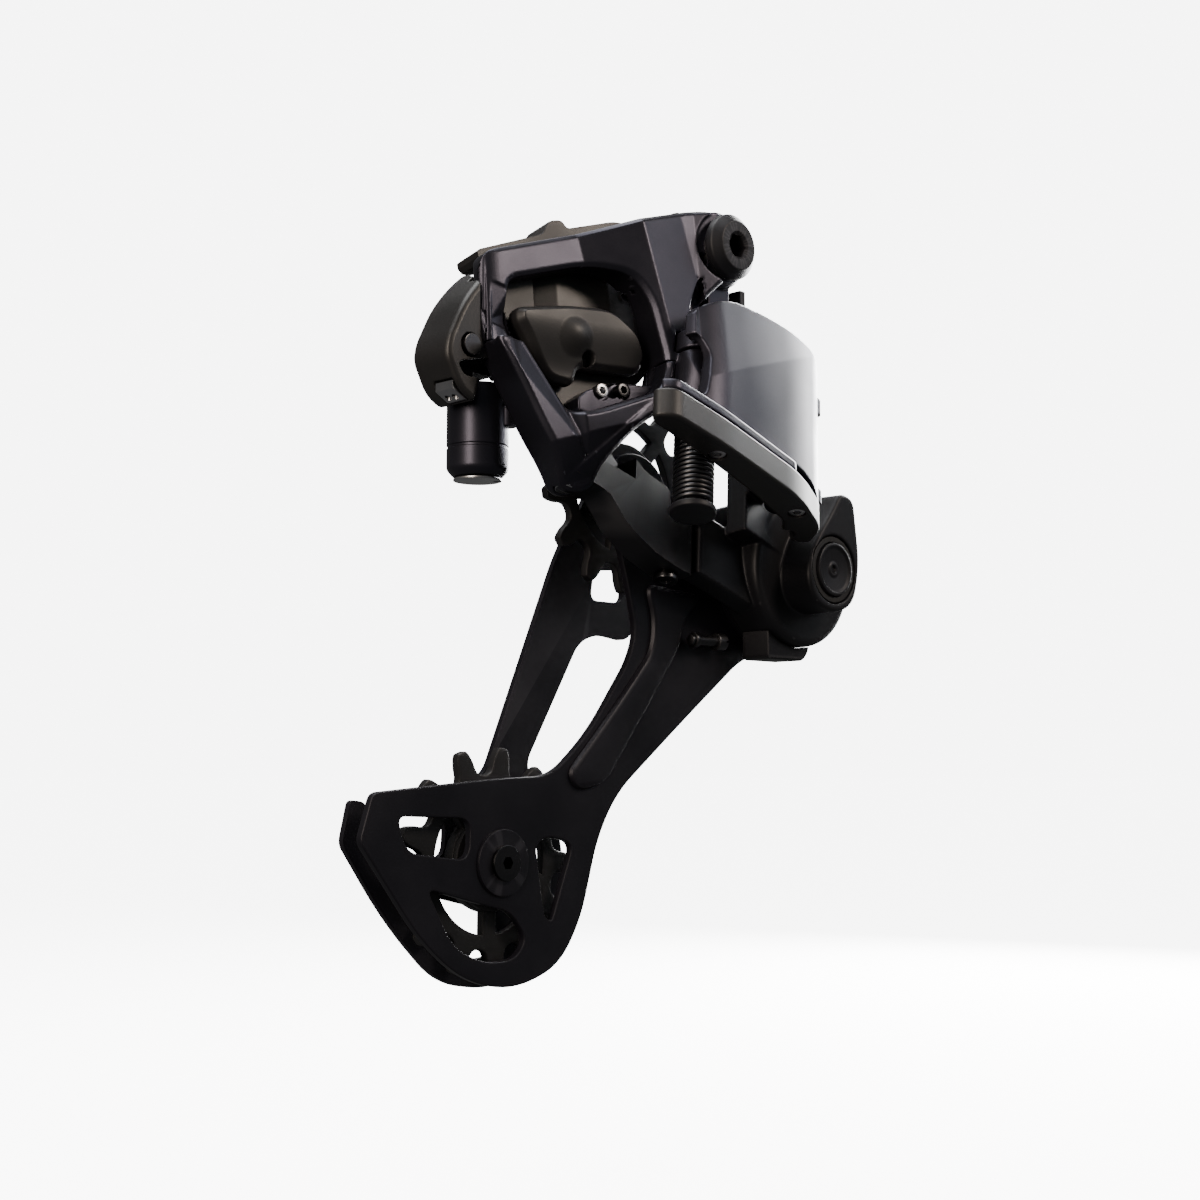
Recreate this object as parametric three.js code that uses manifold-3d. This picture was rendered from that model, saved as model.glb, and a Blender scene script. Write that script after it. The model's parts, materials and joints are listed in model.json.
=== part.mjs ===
// Rear derailleur of a mountain bike, wireless and long-caged, in millimetres.
// The origin is on the axis of the hanger bolt, in the face that meets the frame's hanger.
// +X points to the front of the bicycle, +Y inboard to the wheel and +Z up.
import * as THREE from 'three';
import { mergeVertices } from 'three/addons/utils/BufferGeometryUtils.js';
import Module from 'manifold-3d';

const wasm = await Module();
wasm.setup();

// ---- driving dimensions -------------------------------------------------
const GAP = 0.3; // clearance kept between neighbouring pieces

// chain and pulleys
const CHAIN_PITCH = 12.7;
const PULLEY_TEETH = 13;
const PITCH_RADIUS = CHAIN_PITCH / (2 * Math.sin(Math.PI / PULLEY_TEETH));
const TOOTH_RISE = 3.2;
const TOOTH_DROP = 4.1;
const PULLEY_PLANE = 14;
const TOOTH_WIDTH = 2.6;

// the four axes that run across the bicycle, as [x, z]
const CAGE_AXIS = [40.5, -88.2];
const GUIDE_AXIS = [-15, -67];
const TENSION_AXIS = [-64.3, -170];

// slanted parallelogram: direction of its pins and of its links
const PIN_UP = new THREE.Vector3(0.26, 0.2, 0.945).normalize();
const LINK_ALONG = unitAcross(new THREE.Vector3(0.956, 0.089, -0.281), PIN_UP);
const LINK_LENGTH = 45;
const OUTER_PIVOT = new THREE.Vector3(-23.5, -22, -59.5);
const INNER_PIVOT = new THREE.Vector3(-55.5, -5.5, -72.6);
const PIN_RADIUS = 2.5;

// the hoop of the upper knuckle lies in a plane turned a little from the bicycle's
const HOOP_YAW = -10;
const HOOP_TILT = -6;
const HOOP_FRONT = -15;
const HOOP_BACK = -2;
const HOOP_SPLIT = -38;

// stack along the hanger bolt
const BOLT_FACE = -18;
const BOLT_SEAT = -13.2;
const BOLT_TIP = 8;
const BOLT_HEAD_RADIUS = 9.25;
const BOLT_RADIUS = 4.9;
const BOSS_RADIUS = 10.8;
const STOPPER_THICKNESS = 1.9;

// lower knuckle and cage
const CHAMBER_RADIUS = 22;
const CHAMBER_OUTBOARD = -8;
const CHAMBER_INBOARD = 6;
const CAP_FACE = -19.5;
const OUTER_PLATE_FACE = 8;
const OUTER_PLATE_THICKNESS = 2.2;
const INNER_PLATE_FACE = 19.6;
const INNER_PLATE_THICKNESS = 1.8;

// ---- helpers ------------------------------------------------------------
function unitAcross(vector, axis) {
  return vector.clone().addScaledVector(axis, -vector.dot(axis)).normalize();
}

// Shape through [x, y, radius] corners, each rounded by its radius.
function rounded(corners) {
  const shape = new THREE.Shape();
  corners.forEach(([x, y, radius = 0], i) => {
    const here = new THREE.Vector2(x, y);
    const before = new THREE.Vector2(...corners.at(i - 1)).sub(here);
    const after = new THREE.Vector2(...corners[(i + 1) % corners.length]).sub(here);
    const reach = Math.min(radius, before.length() * 0.49, after.length() * 0.49);
    const start = here.clone().addScaledVector(before.normalize(), reach);
    const end = here.clone().addScaledVector(after.normalize(), reach);
    if (i === 0) shape.moveTo(start.x, start.y);
    else shape.lineTo(start.x, start.y);
    if (reach > 0) shape.quadraticCurveTo(x, y, end.x, end.y);
  });
  shape.closePath();
  return shape;
}

function circleShape(radius) {
  const shape = new THREE.Shape();
  shape.absarc(0, 0, radius, 0, Math.PI * 2);
  return shape;
}

// Slab of an outline drawn in x and z, between two planes across y.
function slab(shape, y0, y1, curve = 2) {
  const options = { depth: y1 - y0, bevelEnabled: false, curveSegments: curve };
  const geometry = new THREE.ExtrudeGeometry(shape, options);
  geometry.rotateX(Math.PI / 2);
  geometry.translate(0, y1, 0);
  return solid(geometry);
}

// Body turned about the y axis from [radius, y] points, moved to an [x, z] axis.
function turned(points, [x, z] = [0, 0], segments = 24) {
  const profile = points.map(([radius, y]) => new THREE.Vector2(radius, y));
  const geometry = new THREE.LatheGeometry(profile, segments);
  geometry.translate(x, 0, z);
  return solid(geometry);
}

// Ring with a rectangular section about the y axis.
function ring(inner, outer, y0, y1, axis = [0, 0], segments = 24) {
  return turned([[inner, y0], [outer, y0], [outer, y1], [inner, y1], [inner, y0]], axis, segments);
}

function disc(radius, y0, y1, axis = [0, 0], segments = 24) {
  return turned([[0, y0], [radius, y0], [radius, y1], [0, y1]], axis, segments);
}

// Hexagonal key socket about the y axis.
function hexSocket(flats, y0, y1, axis = [0, 0]) {
  return disc(flats / 2 / Math.cos(Math.PI / 6), y0, y1, axis, 6);
}

// Manifold solid of a closed geometry, whichever way its faces wind.
function solid(geometry) {
  geometry.deleteAttribute('normal');
  geometry.deleteAttribute('uv');
  const merged = mergeVertices(geometry, 1e-4);
  const corners = merged.attributes.position.array;
  const order = Array.from(merged.index.array);
  const whole = [];
  for (let i = 0; i < order.length; i += 3) {
    const [a, b, c] = order.slice(i, i + 3);
    if (a !== b && b !== c && c !== a) whole.push(a, b, c);
  }
  if (signedVolume(corners, whole) < 0) {
    for (let i = 0; i < whole.length; i += 3) {
      [whole[i + 1], whole[i + 2]] = [whole[i + 2], whole[i + 1]];
    }
  }
  return new wasm.Manifold(new wasm.Mesh({
    numProp: 3,
    vertProperties: new Float32Array(corners),
    triVerts: new Uint32Array(whole),
  }));
}

function signedVolume(corners, order) {
  const point = (i) => new THREE.Vector3().fromArray(corners, order[i] * 3);
  let volume = 0;
  for (let i = 0; i < order.length; i += 3) volume += point(i).dot(point(i + 1).cross(point(i + 2)));
  return volume;
}

function join(...pieces) {
  return pieces.reduce((whole, piece) => whole.add(piece));
}

function placed(piece, matrix) {
  const { numProp, vertProperties, triVerts } = piece.getMesh();
  const corners = new THREE.Float32BufferAttribute(vertProperties, numProp);
  corners.applyMatrix4(matrix);
  return new wasm.Manifold(new wasm.Mesh({
    numProp: 3,
    vertProperties: new Float32Array(corners.array),
    triVerts: new Uint32Array(triVerts),
  }));
}

// Frame of a link or pin: x along the link, y inboard, z up the pin.
function pinFrame(origin) {
  const across = new THREE.Vector3().crossVectors(PIN_UP, LINK_ALONG);
  return new THREE.Matrix4().makeBasis(LINK_ALONG, across, PIN_UP).setPosition(origin);
}

// Cylinder standing along z between two heights, at [x, y].
function post(radius, z0, z1, [x, y] = [0, 0], segments = 20) {
  const geometry = new THREE.CylinderGeometry(radius, radius, z1 - z0, segments);
  geometry.rotateX(Math.PI / 2);
  geometry.translate(x, y, (z0 + z1) / 2);
  return solid(geometry);
}

function block([x0, y0, z0], [x1, y1, z1]) {
  const geometry = new THREE.BoxGeometry(x1 - x0, y1 - y0, z1 - z0);
  geometry.translate((x0 + x1) / 2, (y0 + y1) / 2, (z0 + z1) / 2);
  return solid(geometry);
}

// Slab of an outline drawn in x and y, between two heights.
function layer(shape, z0, z1, curve = 2) {
  const options = { depth: z1 - z0, bevelEnabled: false, curveSegments: curve };
  const geometry = new THREE.ExtrudeGeometry(shape, options);
  geometry.translate(0, 0, z0);
  return solid(geometry);
}

// Coil spring of round wire standing along z, with both ends cut square.
function coil(radius, wire, z0, z1, turns) {
  class Helix extends THREE.Curve {
    getPoint(t, target = new THREE.Vector3()) {
      const angle = t * turns * Math.PI * 2;
      const climb = z0 + wire + t * (z1 - z0 - 2 * wire);
      return target.set(radius * Math.cos(angle), radius * Math.sin(angle), climb);
    }
  }
  const geometry = new THREE.ExtrudeGeometry(circleShape(wire), {
    steps: Math.round(turns * 10),
    extrudePath: new Helix(),
    curveSegments: 3,
    bevelEnabled: false,
  });
  return solid(geometry);
}

const HOOP_FRAME = new THREE.Matrix4().makeRotationFromEuler(
  new THREE.Euler(THREE.MathUtils.degToRad(HOOP_TILT), 0, THREE.MathUtils.degToRad(HOOP_YAW), 'ZYX'),
);
const OUTER_FRAME = pinFrame(OUTER_PIVOT);
const INNER_FRAME = pinFrame(INNER_PIVOT);

const derailleur = new THREE.Group();

function add(name, piece, { color, roughness = 0.5, metalness = 0 }) {
  const { numProp, vertProperties, triVerts } = piece.getMesh();
  const geometry = new THREE.BufferGeometry();
  geometry.setAttribute('position', new THREE.Float32BufferAttribute(vertProperties, numProp));
  geometry.setIndex(new THREE.BufferAttribute(triVerts, 1));
  const mesh = new THREE.Mesh(geometry, new THREE.MeshStandardMaterial({ color, roughness, metalness }));
  mesh.name = name;
  derailleur.add(mesh);
}

const GUNMETAL = { color: 0x2b2d38, roughness: 0.42, metalness: 0.8 };
const BLACK_METAL = { color: 0x131317, roughness: 0.5, metalness: 0.6 };
const SATIN_BLACK = { color: 0x0c0c0f, roughness: 0.45, metalness: 0.3 };
const PLASTIC = { color: 0x111113, roughness: 0.6 };
const STEEL = { color: 0x8d8f94, roughness: 0.3, metalness: 1 };
const DARK_STEEL = { color: 0x2a2b2e, roughness: 0.35, metalness: 1 };
const RUBBER = { color: 0x0a0a0b, roughness: 0.9 };

// ---- hanger side --------------------------------------------------------
const SOCKET = 6.2; // across the flats of the hanger bolt's key socket
const BUSHING_RADIUS = 7;

add('hanger_bolt', turned([
  [0, BOLT_FACE],
  [6.9, BOLT_FACE],
  [BOLT_HEAD_RADIUS, BOLT_FACE + 2.2],
  [BOLT_HEAD_RADIUS, BOLT_SEAT],
  [BOLT_RADIUS, BOLT_SEAT],
  [BOLT_RADIUS, BOLT_TIP - 1],
  [BOLT_RADIUS - 1, BOLT_TIP],
  [0, BOLT_TIP],
]).subtract(hexSocket(SOCKET, BOLT_FACE - 1, BOLT_FACE + 5)), BLACK_METAL);

const bushingSpan = [BOLT_SEAT + GAP, -STOPPER_THICKNESS - GAP];
add('hanger_bushing', ring(BOLT_RADIUS + GAP, BUSHING_RADIUS, ...bushingSpan), STEEL);

const TAB_REAR = 11;
const TAB_FRONT = 13;
const TAB_BOTTOM = -19;
const stopperOutline = rounded([
  [0, 11.5, 11], [11.5, 11.5, 11], [TAB_FRONT, -6, 3], [TAB_FRONT, TAB_BOTTOM, 1],
  [TAB_REAR - 4, TAB_BOTTOM, 2], [0, -11.5, 4], [-11.5, -11.5, 11], [-11.5, 11.5, 11],
]);
add('stopper_plate', join(
  slab(stopperOutline, -STOPPER_THICKNESS, 0),
  block([TAB_REAR, -9, TAB_BOTTOM], [TAB_FRONT, -0.5, -9]),
).subtract(disc(BOLT_RADIUS + GAP, -20, 10)), BLACK_METAL);

// ---- upper knuckle ------------------------------------------------------
const BOSS_END = BOLT_SEAT + 2 * GAP;
const BOSS_INBOARD = -STOPPER_THICKNESS - GAP;
const FAR = 200;
const hoopOutline = rounded([
  [-76.5, -14, 5], [-38, -1.5, 6], [-8, 8.5, 6], [3, 8.5, 5], [3, -9, 4], [-7, -18, 4], [-12, -36, 3],
  [-15.5, -47, 4], [-33, -57, 6], [-43.5, -68, 3], [-46, -74, 3], [-50, -76, 3], [-56, -76, 3],
  [-59, -69, 3], [-64, -61, 4], [-76.5, -37, 6],
]);
const hoopWindow = rounded([
  [-69, -20.5, 4], [-43, -12.5, 5], [-31, -14, 5], [-26, -21, 4], [-22, -38, 3], [-25, -46.5, 4],
  [-46, -54.5, 5], [-53, -56, 4], [-57.5, -51, 4], [-69, -33.5, 4],
]);
const TUBE = { x: -76.5, y: -7, z: -31, radius: 4.6, depth: 9 }; // blind bore in the rear arm
const tubeBore = solid(new THREE.CylinderGeometry(TUBE.radius, TUBE.radius, TUBE.depth * 2, 20)
  .rotateZ(Math.PI / 2)
  .translate(TUBE.x, TUBE.y, TUBE.z));
const hoop = placed(
  slab(hoopOutline, HOOP_FRONT, HOOP_BACK)
    .subtract(slab(hoopWindow, HOOP_FRONT - 1, HOOP_BACK + 1))
    .subtract(tubeBore.intersect(block([-80, -40, -60], [-73.5, 0, 0]))),
  HOOP_FRAME,
);

// Boss for the outer pin, standing on the front arm of the hoop.
const OUTER_BOSS = [13, 26];
const TOP_LUG = [OUTER_BOSS[1] + GAP, 32];
const bossBody = (grow) => placed(join(
  post(5.5 + grow, OUTER_BOSS[0] - grow, OUTER_BOSS[1] + grow),
  block([-5 - grow, 0, OUTER_BOSS[0] - grow], [4 + grow, 13, OUTER_BOSS[1] + grow]),
), OUTER_FRAME);
const hangerBoss = disc(BOSS_RADIUS, BOSS_END, BOSS_INBOARD);
const hangerBore = disc(BUSHING_RADIUS + GAP, -40, 10);
const boltRoom = disc(BOLT_HEAD_RADIUS + 1.4, -40, BOSS_END);
const hangerRoom = block([-30, BOSS_INBOARD, -40], [30, 20, 30]);
const aboveSplit = placed(block([-FAR, -FAR, HOOP_SPLIT + GAP / 2], [FAR, FAR, FAR]), HOOP_FRAME);
const belowSplit = placed(block([-FAR, -FAR, -FAR], [FAR, FAR, HOOP_SPLIT - GAP / 2]), HOOP_FRAME);
const outerPinHole = placed(post(PIN_RADIUS + GAP, -30, 60), OUTER_FRAME);
const innerPinHole = placed(post(PIN_RADIUS + GAP, -30, 18), INNER_FRAME);
const LUG_RADIUS = 6.2;
const topLugRoom = placed(post(LUG_RADIUS + 0.8, TOP_LUG[0] - GAP, TOP_LUG[1] + GAP), OUTER_FRAME);

const tensionScrewAxis = { y: -6, z: -14.6 };
const tensionScrew = (radius, x0, x1) => solid(new THREE.CylinderGeometry(radius, radius, x1 - x0, 16)
  .rotateZ(Math.PI / 2)
  .translate((x0 + x1) / 2, tensionScrewAxis.y, tensionScrewAxis.z));
const tensionLug = block([-4, -10, -18.5], [5, BOSS_INBOARD, -8]);

add('knuckle_frame', join(hoop.intersect(aboveSplit), hangerBoss, bossBody(0), tensionLug)
  .subtract(hangerBore)
  .subtract(boltRoom)
  .subtract(hangerRoom)
  .subtract(topLugRoom)
  .subtract(tensionScrew(2 + GAP, -30, 20))
  .subtract(outerPinHole), GUNMETAL);
add('hanger_tension_screw', tensionScrew(2, -7, TAB_REAR - GAP), STEEL);

// The tip of the guard is slotted for the inner link.
const INNER_LUG = { radius: 4.3, low: 2.4, high: 10.8 };
const slotRoom = placed(join(
  post(INNER_LUG.radius + 0.5, INNER_LUG.low - GAP, INNER_LUG.high + GAP),
  block([0, -INNER_LUG.radius - 4, INNER_LUG.low - GAP], [25, 25, INNER_LUG.high + GAP]),
  block([-3, 0, INNER_LUG.low - GAP], [25, 25, INNER_LUG.high + GAP]),
), INNER_FRAME);
const linkLugRoom = placed(post(LUG_RADIUS + 1, -30, OUTER_BOSS[0] + 5), OUTER_FRAME);
add('lower_guard', hoop.intersect(belowSplit)
  .subtract(innerPinHole)
  .subtract(slotRoom)
  .subtract(bossBody(GAP))
  .subtract(linkLugRoom), GUNMETAL);

// ---- battery and actuator behind the hoop -------------------------------
const CASE_FRONT = HOOP_BACK + GAP;
const CASE_BACK = 17;
const STEP_BACK = 6; // the lower half of the case is shallow, to leave room for the guide pulley
const STEP_HEIGHT = -31;
const caseOutline = rounded([
  [-74, -17, 4], [-44, -8, 4], [-20, -6, 5], [-14, -14, 4], [-17, -34, 5], [-26, -44, 5], [-46, -52, 4],
  [-60, -50, 4], [-66, -44, 4], [-74, -34, 4],
]);
const BATTERY = { x: [-54, -19], y: [4.6, 15], z: [-28, -12.5] };
const COVER_WALL = 2;
const batteryRoom = (grow, y0, y1) => slab(rounded([
  [BATTERY.x[0] - grow, BATTERY.z[0] - grow, 3], [BATTERY.x[1] + grow, BATTERY.z[0] - grow, 3],
  [BATTERY.x[1] + grow, BATTERY.z[1] + grow, 3], [BATTERY.x[0] - grow, BATTERY.z[1] + grow, 3],
]), y0, y1);
const GEAR = { at: [-52.5, -41.5], radius: 6.2 };
const gearRoom = disc(GEAR.radius + 0.8, CASE_FRONT + 1.8, STEP_BACK + 1, GEAR.at);
const deepPart = block([-FAR, -FAR, STEP_HEIGHT], [FAR, CASE_BACK, FAR]);
const shallowPart = block([-FAR, -FAR, -FAR], [FAR, STEP_BACK, STEP_HEIGHT + 1]);
const MOTOR = { x: -68.4, y: 14, radius: 8.2, low: -70.2, high: -46 };
const motorAt = [MOTOR.x, MOTOR.y];
const motorRoom = post(MOTOR.radius + GAP, -80, -44, motorAt, 28);
add('actuator_case', placed(slab(caseOutline, CASE_FRONT, CASE_BACK)
  .intersect(join(deepPart, shallowPart))
  .subtract(batteryRoom(COVER_WALL + GAP, CASE_FRONT - 1, BATTERY.y[0]))
  .subtract(batteryRoom(GAP, BATTERY.y[0] - 1, CASE_BACK + 1))
  .subtract(gearRoom), HOOP_FRAME).subtract(motorRoom), PLASTIC);
add('battery', placed(batteryRoom(0, BATTERY.y[0] + GAP, CASE_BACK - GAP), HOOP_FRAME), PLASTIC);
const gearRing = ring(1.5, GEAR.radius, CASE_FRONT + 2.3, STEP_BACK - 0.8, GEAR.at);
add('reduction_gear', placed(gearRing, HOOP_FRAME), STEEL);
add('gear_lid', placed(slab(rounded([
  [-61, -49, 3], [-45, -49, 3], [-45, -33, 3], [-61, -33, 3],
]), STEP_BACK + GAP, STEP_BACK + 1.8), HOOP_FRAME), PLASTIC);
const PILL = { x: [-26, -20], z: [-16.5, -15] };
add('battery_cover', placed(batteryRoom(COVER_WALL, CASE_FRONT + 2.5, BATTERY.y[0] - GAP)
  .subtract(block([PILL.x[0], CASE_FRONT, PILL.z[0]], [PILL.x[1], CASE_FRONT + 3.2, PILL.z[1]])),
HOOP_FRAME), PLASTIC);

// Latch that spans the window and presses the battery cover shut.
const latchOutline = rounded([
  [-66, -27.4, 2], [-50, -24.5, 3], [-36, -23.5, 4], [-28, -29, 3], [-24.5, -36, 3], [-27, -40.6, 3],
  [-37, -41, 3], [-46.6, -41, 2], [-48, -46.4, 3], [-56.4, -45.4, 3], [-64, -34, 4], [-66.4, -31, 2],
]);
add('cover_latch', placed(join(
  slab(latchOutline, HOOP_BACK - 5, HOOP_BACK),
  disc(4, HOOP_BACK - 7, HOOP_BACK - 3, [-47, -31], 20),
).subtract(disc(2, HOOP_BACK - 20, HOOP_BACK - 2, [-44, -38.5], 16)), HOOP_FRAME), PLASTIC);

// Two travel-limit screws in their own seat in the corner of the window.
const LIMIT_SCREWS = { high: [-41.5, -47.6], low: [-34.5, -46.6] };
const SEAT_FACE = HOOP_BACK - 5;
const limitScrewSeat = slab(rounded([
  [-46, -51.5, 2], [-30.5, -47.5, 3], [-30, -44.3, 1], [-37, -44.6, 1], [-46, -47.6, 1],
]), SEAT_FACE, HOOP_BACK);
const limitScrew = (axis) => join(
  disc(1.9, SEAT_FACE - 3, SEAT_FACE - GAP, axis, 16),
  disc(1.2, SEAT_FACE - 1, HOOP_BACK - GAP, axis, 12),
).subtract(hexSocket(2, SEAT_FACE - 4, SEAT_FACE - 1.4, axis));
add('screw_seat', placed(limitScrewSeat
  .subtract(disc(1.2 + GAP, -40, 20, LIMIT_SCREWS.high, 12))
  .subtract(disc(1.2 + GAP, -40, 20, LIMIT_SCREWS.low, 12)), HOOP_FRAME), PLASTIC);
add('high_limit_screw', placed(limitScrew(LIMIT_SCREWS.high), HOOP_FRAME), STEEL);
add('low_limit_screw', placed(limitScrew(LIMIT_SCREWS.low), HOOP_FRAME), DARK_STEEL);

add('case_lid', placed(slab(rounded([
  [-72, -19, 3], [-44, -10, 3], [-21, -8, 4], [-16, -14, 3], [-18, -30, 3], [-72, -30, 3],
]), CASE_BACK + GAP, CASE_BACK + 1.8), HOOP_FRAME), PLASTIC);

// Thin shield over the top bar, with a small hook.
const shieldOutline = rounded([
  [-74, -11, 2], [-52, -2.6, 1], [-50, 1.6, 1.5], [-45.5, 2.6, 1.5], [-44, 0.4, 1], [-28, 5.4, 2],
  [-22, 5.4, 3], [-20, -5, 3], [-44, -6.6, 3], [-72, -14.5, 2],
]);
add('top_shield', placed(slab(shieldOutline, CASE_FRONT, 9).subtract(
  slab(caseOutline, CASE_FRONT - 1, 12, 4),
).subtract(slab(rounded([
  [-74, -16.4, 4], [-44, -7.4, 4], [-20, -5.4, 5], [-13.5, -14, 4], [-74, -34, 4],
]), CASE_FRONT - 1, 12)), HOOP_FRAME), PLASTIC);

// ---- motor at the rear --------------------------------------------------
const MOTOR_WALL = 1;
const canInside = post(MOTOR.radius - MOTOR_WALL, MOTOR.low + MOTOR_WALL, MOTOR.high + 1, motorAt, 28);
add('motor_can', post(MOTOR.radius, MOTOR.low, MOTOR.high, motorAt, 28).subtract(canInside), GUNMETAL);
add('motor_end_disc', post(MOTOR.radius - 1.8, MOTOR.low - 0.9, MOTOR.low - GAP, motorAt, 24), STEEL);
add('motor_rotor', post(6, MOTOR.low + MOTOR_WALL + 0.6, MOTOR.high - 1, motorAt), DARK_STEEL);
const HOUSING = { y: [3, 17.5] };
const motorHousing = slab(rounded([
  [-70, -14.5, 4], [-77, -20.5, 4], [-82.6, -27.3, 5], [-87.6, -37.4, 5], [-88.3, -42, 3],
  [-84, -50.4, 3], [-78.5, -53.4, 2], [-76.5, -45.5, 3], [-58, -45.5, 3], [-58, -33, 3], [-64, -20, 4],
]), ...HOUSING.y);
const caseRoom = placed(join(
  slab(caseOutline, CASE_FRONT - GAP, CASE_BACK + 2.2),
  slab(rounded([
    [-74.6, -16, 4], [-13, -5, 4], [-13, -34, 5], [-46, -53, 4], [-67, -45, 4], [-74.6, -34.5, 4],
  ]), CASE_FRONT - GAP, CASE_BACK + 2.2),
), HOOP_FRAME);
const hoopRoom = placed(slab(hoopOutline, HOOP_FRONT, CASE_FRONT), HOOP_FRAME);
const PORT = { x: [-88, -79.5], y: [4.5, 12], z: [-54, -47.5] };
const BUTTON = { at: [-80.5, -38.5], radius: 2.8 };
add('motor_housing', motorHousing
  .subtract(caseRoom)
  .subtract(hoopRoom)
  .subtract(motorRoom)
  .subtract(block([PORT.x[0] - 4, PORT.y[0], PORT.z[0] - 4], [PORT.x[1], PORT.y[1], PORT.z[1]]))
  .subtract(disc(BUTTON.radius + GAP, 0, HOUSING.y[0] + 3, BUTTON.at)), PLASTIC);
add('charge_port', block(
  [PORT.x[0] + 3, PORT.y[0] + GAP, PORT.z[0] + 1.5],
  [PORT.x[1] - GAP, PORT.y[1] - GAP, PORT.z[1] - GAP],
), DARK_STEEL);
add('function_button', disc(BUTTON.radius, HOUSING.y[0] - 0.9, HOUSING.y[0] + 1.9, BUTTON.at), DARK_STEEL);

// ---- outer link ---------------------------------------------------------
const P_PIN = [LINK_LENGTH, 0];
const skin = layer(rounded([
  [-10, -3, 0.5], [-9.4, -7, 4], [-3, -11, 5], [15, -12.5, 8], [32, -12.5, 8], [46, -10.5, 5],
  [53.6, -5, 4], [53.4, 1, 0.5], [51.4, 1, 0.5], [51.4, -3.6, 4], [45, -7.4, 4], [32, -9, 6],
  [15, -9, 6], [-1, -8, 4], [-7, -5, 1], [-7, -3, 0.5],
]), -10, 60, 4);
const sideProfile = slab(rounded([
  [-12, 33, 3], [-6, 37, 5], [10, 44, 8], [30, 47, 8], [46, 48, 4], [53, 38, 8], [54, 20, 8],
  [55, 0.2, 2], [47, 0.2, 4], [38, 5, 8], [20, 5, 8], [-2, 3, 4], [-12, 3, 3],
]), -20, 20, 4);
const BOTTOM_LUG = [3, OUTER_BOSS[0] - GAP];
const P_BOSS = [5.5, 29];
const lugs = join(
  post(LUG_RADIUS, ...BOTTOM_LUG), block([-4, -9, BOTTOM_LUG[0]], [5, 0, BOTTOM_LUG[1]]),
  post(LUG_RADIUS, ...TOP_LUG), block([-5, -9.5, TOP_LUG[0]], [5, 0, TOP_LUG[1]]),
  post(LUG_RADIUS, 0.5, P_BOSS[0] - GAP, P_PIN), block([40, -9, 0.5], [50, 0, P_BOSS[0] - GAP]),
  post(LUG_RADIUS, P_BOSS[1] + GAP, P_BOSS[1] + 6, P_PIN),
  block([40, -9, P_BOSS[1] + GAP], [50, 0, P_BOSS[1] + 6]),
);
const pinBore = (at) => post(PIN_RADIUS + GAP, -40, 70, at);
add('outer_link', placed(join(skin.intersect(sideProfile), lugs)
  .subtract(pinBore([0, 0])).subtract(pinBore(P_PIN)), OUTER_FRAME), GUNMETAL);

const SKID_TOP = -0.2;
const SKID_BOTTOM = -8.5;
const SKID_SCREWS = [[-3, -9.6], [36, -9.4]];
const skidOutline = rounded([
  [-29, -8, 2], [-26, -13, 4], [-6, -14.6, 6], [30, -15, 8], [48, -10, 6], [53.4, -3, 3], [52, 0, 2],
  [44, 1, 2], [39, -3.4, 3], [20, -5.6, 6], [-6, -6.4, 4], [-26, -5.5, 3],
]);
const skidWithHoles = SKID_SCREWS.reduce(
  (cover, at) => cover
    .subtract(post(2.6, SKID_BOTTOM - 1, SKID_BOTTOM + 2.2, at, 20))
    .subtract(post(1.5 + GAP, -20, 20, at, 12)),
  layer(skidOutline, SKID_BOTTOM, SKID_TOP, 5),
);
add('skid_cover', placed(skidWithHoles
  .subtract(post(LUG_RADIUS + 0.4, -1, 20, P_PIN))
  .subtract(pinBore(P_PIN)), OUTER_FRAME), PLASTIC);
const skidScrew = (at) => placed(join(
  post(2.3, SKID_BOTTOM + 0.4, SKID_BOTTOM + 2.2 - GAP, at, 20),
  post(1.5, SKID_BOTTOM + 1, SKID_TOP - GAP, at, 12),
).subtract(post(1.2, SKID_BOTTOM - 1, SKID_BOTTOM + 1.4, at, 6)), OUTER_FRAME);
add('skid_screw_rear', skidScrew(SKID_SCREWS[0]), STEEL);
add('skid_screw_front', skidScrew(SKID_SCREWS[1]), STEEL);

const SPRING = { radius: 4.9, wire: 0.75, low: -19.5, high: BOTTOM_LUG[0] - GAP, turns: 7 };
const linkSpring = coil(SPRING.radius, SPRING.wire, SPRING.low, SPRING.high, SPRING.turns);
add('link_spring', placed(linkSpring, OUTER_FRAME), DARK_STEEL);
add('outer_upper_pin', placed(join(
  post(PIN_RADIUS, SPRING.low - 1, TOP_LUG[1] + 1),
  post(LUG_RADIUS, SPRING.low - 2.2, SPRING.low - GAP),
), OUTER_FRAME), DARK_STEEL);
add('outer_lower_pin', placed(post(PIN_RADIUS, -0.5, P_BOSS[1] + 7, P_PIN), OUTER_FRAME), DARK_STEEL);

// ---- inner link ---------------------------------------------------------
const innerProfile = slab(rounded([
  [-10, INNER_LUG.low, 0], [-10, INNER_LUG.high, 0], [12.5, INNER_LUG.high, 2], [15, 18.6, 3],
  [20, 19.4, 4], [27, 14.4, 5], [39.2, 14.4, 3], [39.2, 8.6, 1], [54, 8.6, 0],
  [54, -6.5, 3], [46, -8, 4], [32, -7.5, 5], [20, -3.5, 5], [14, INNER_LUG.low, 3],
]), -20, 20);
const innerPlan = layer(rounded([
  [-4.3, -4.3, 4.2], [-4.3, 4.3, 4.2], [12, 4.3, 4], [30, 4, 4], [41, 4, 4], [51, 5, 5], [52.6, 0, 4],
  [51, -5.4, 5],
  [30, -5.4, 4], [12, -4.3, 4],
]), -20, 20);
const INNER_PLAY = 0.6; // radial clearance of the open pivot
const guardRoom = block([0, -20, INNER_LUG.high], [23.5, 1.2, 30]); // clear of the guard's tip
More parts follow.
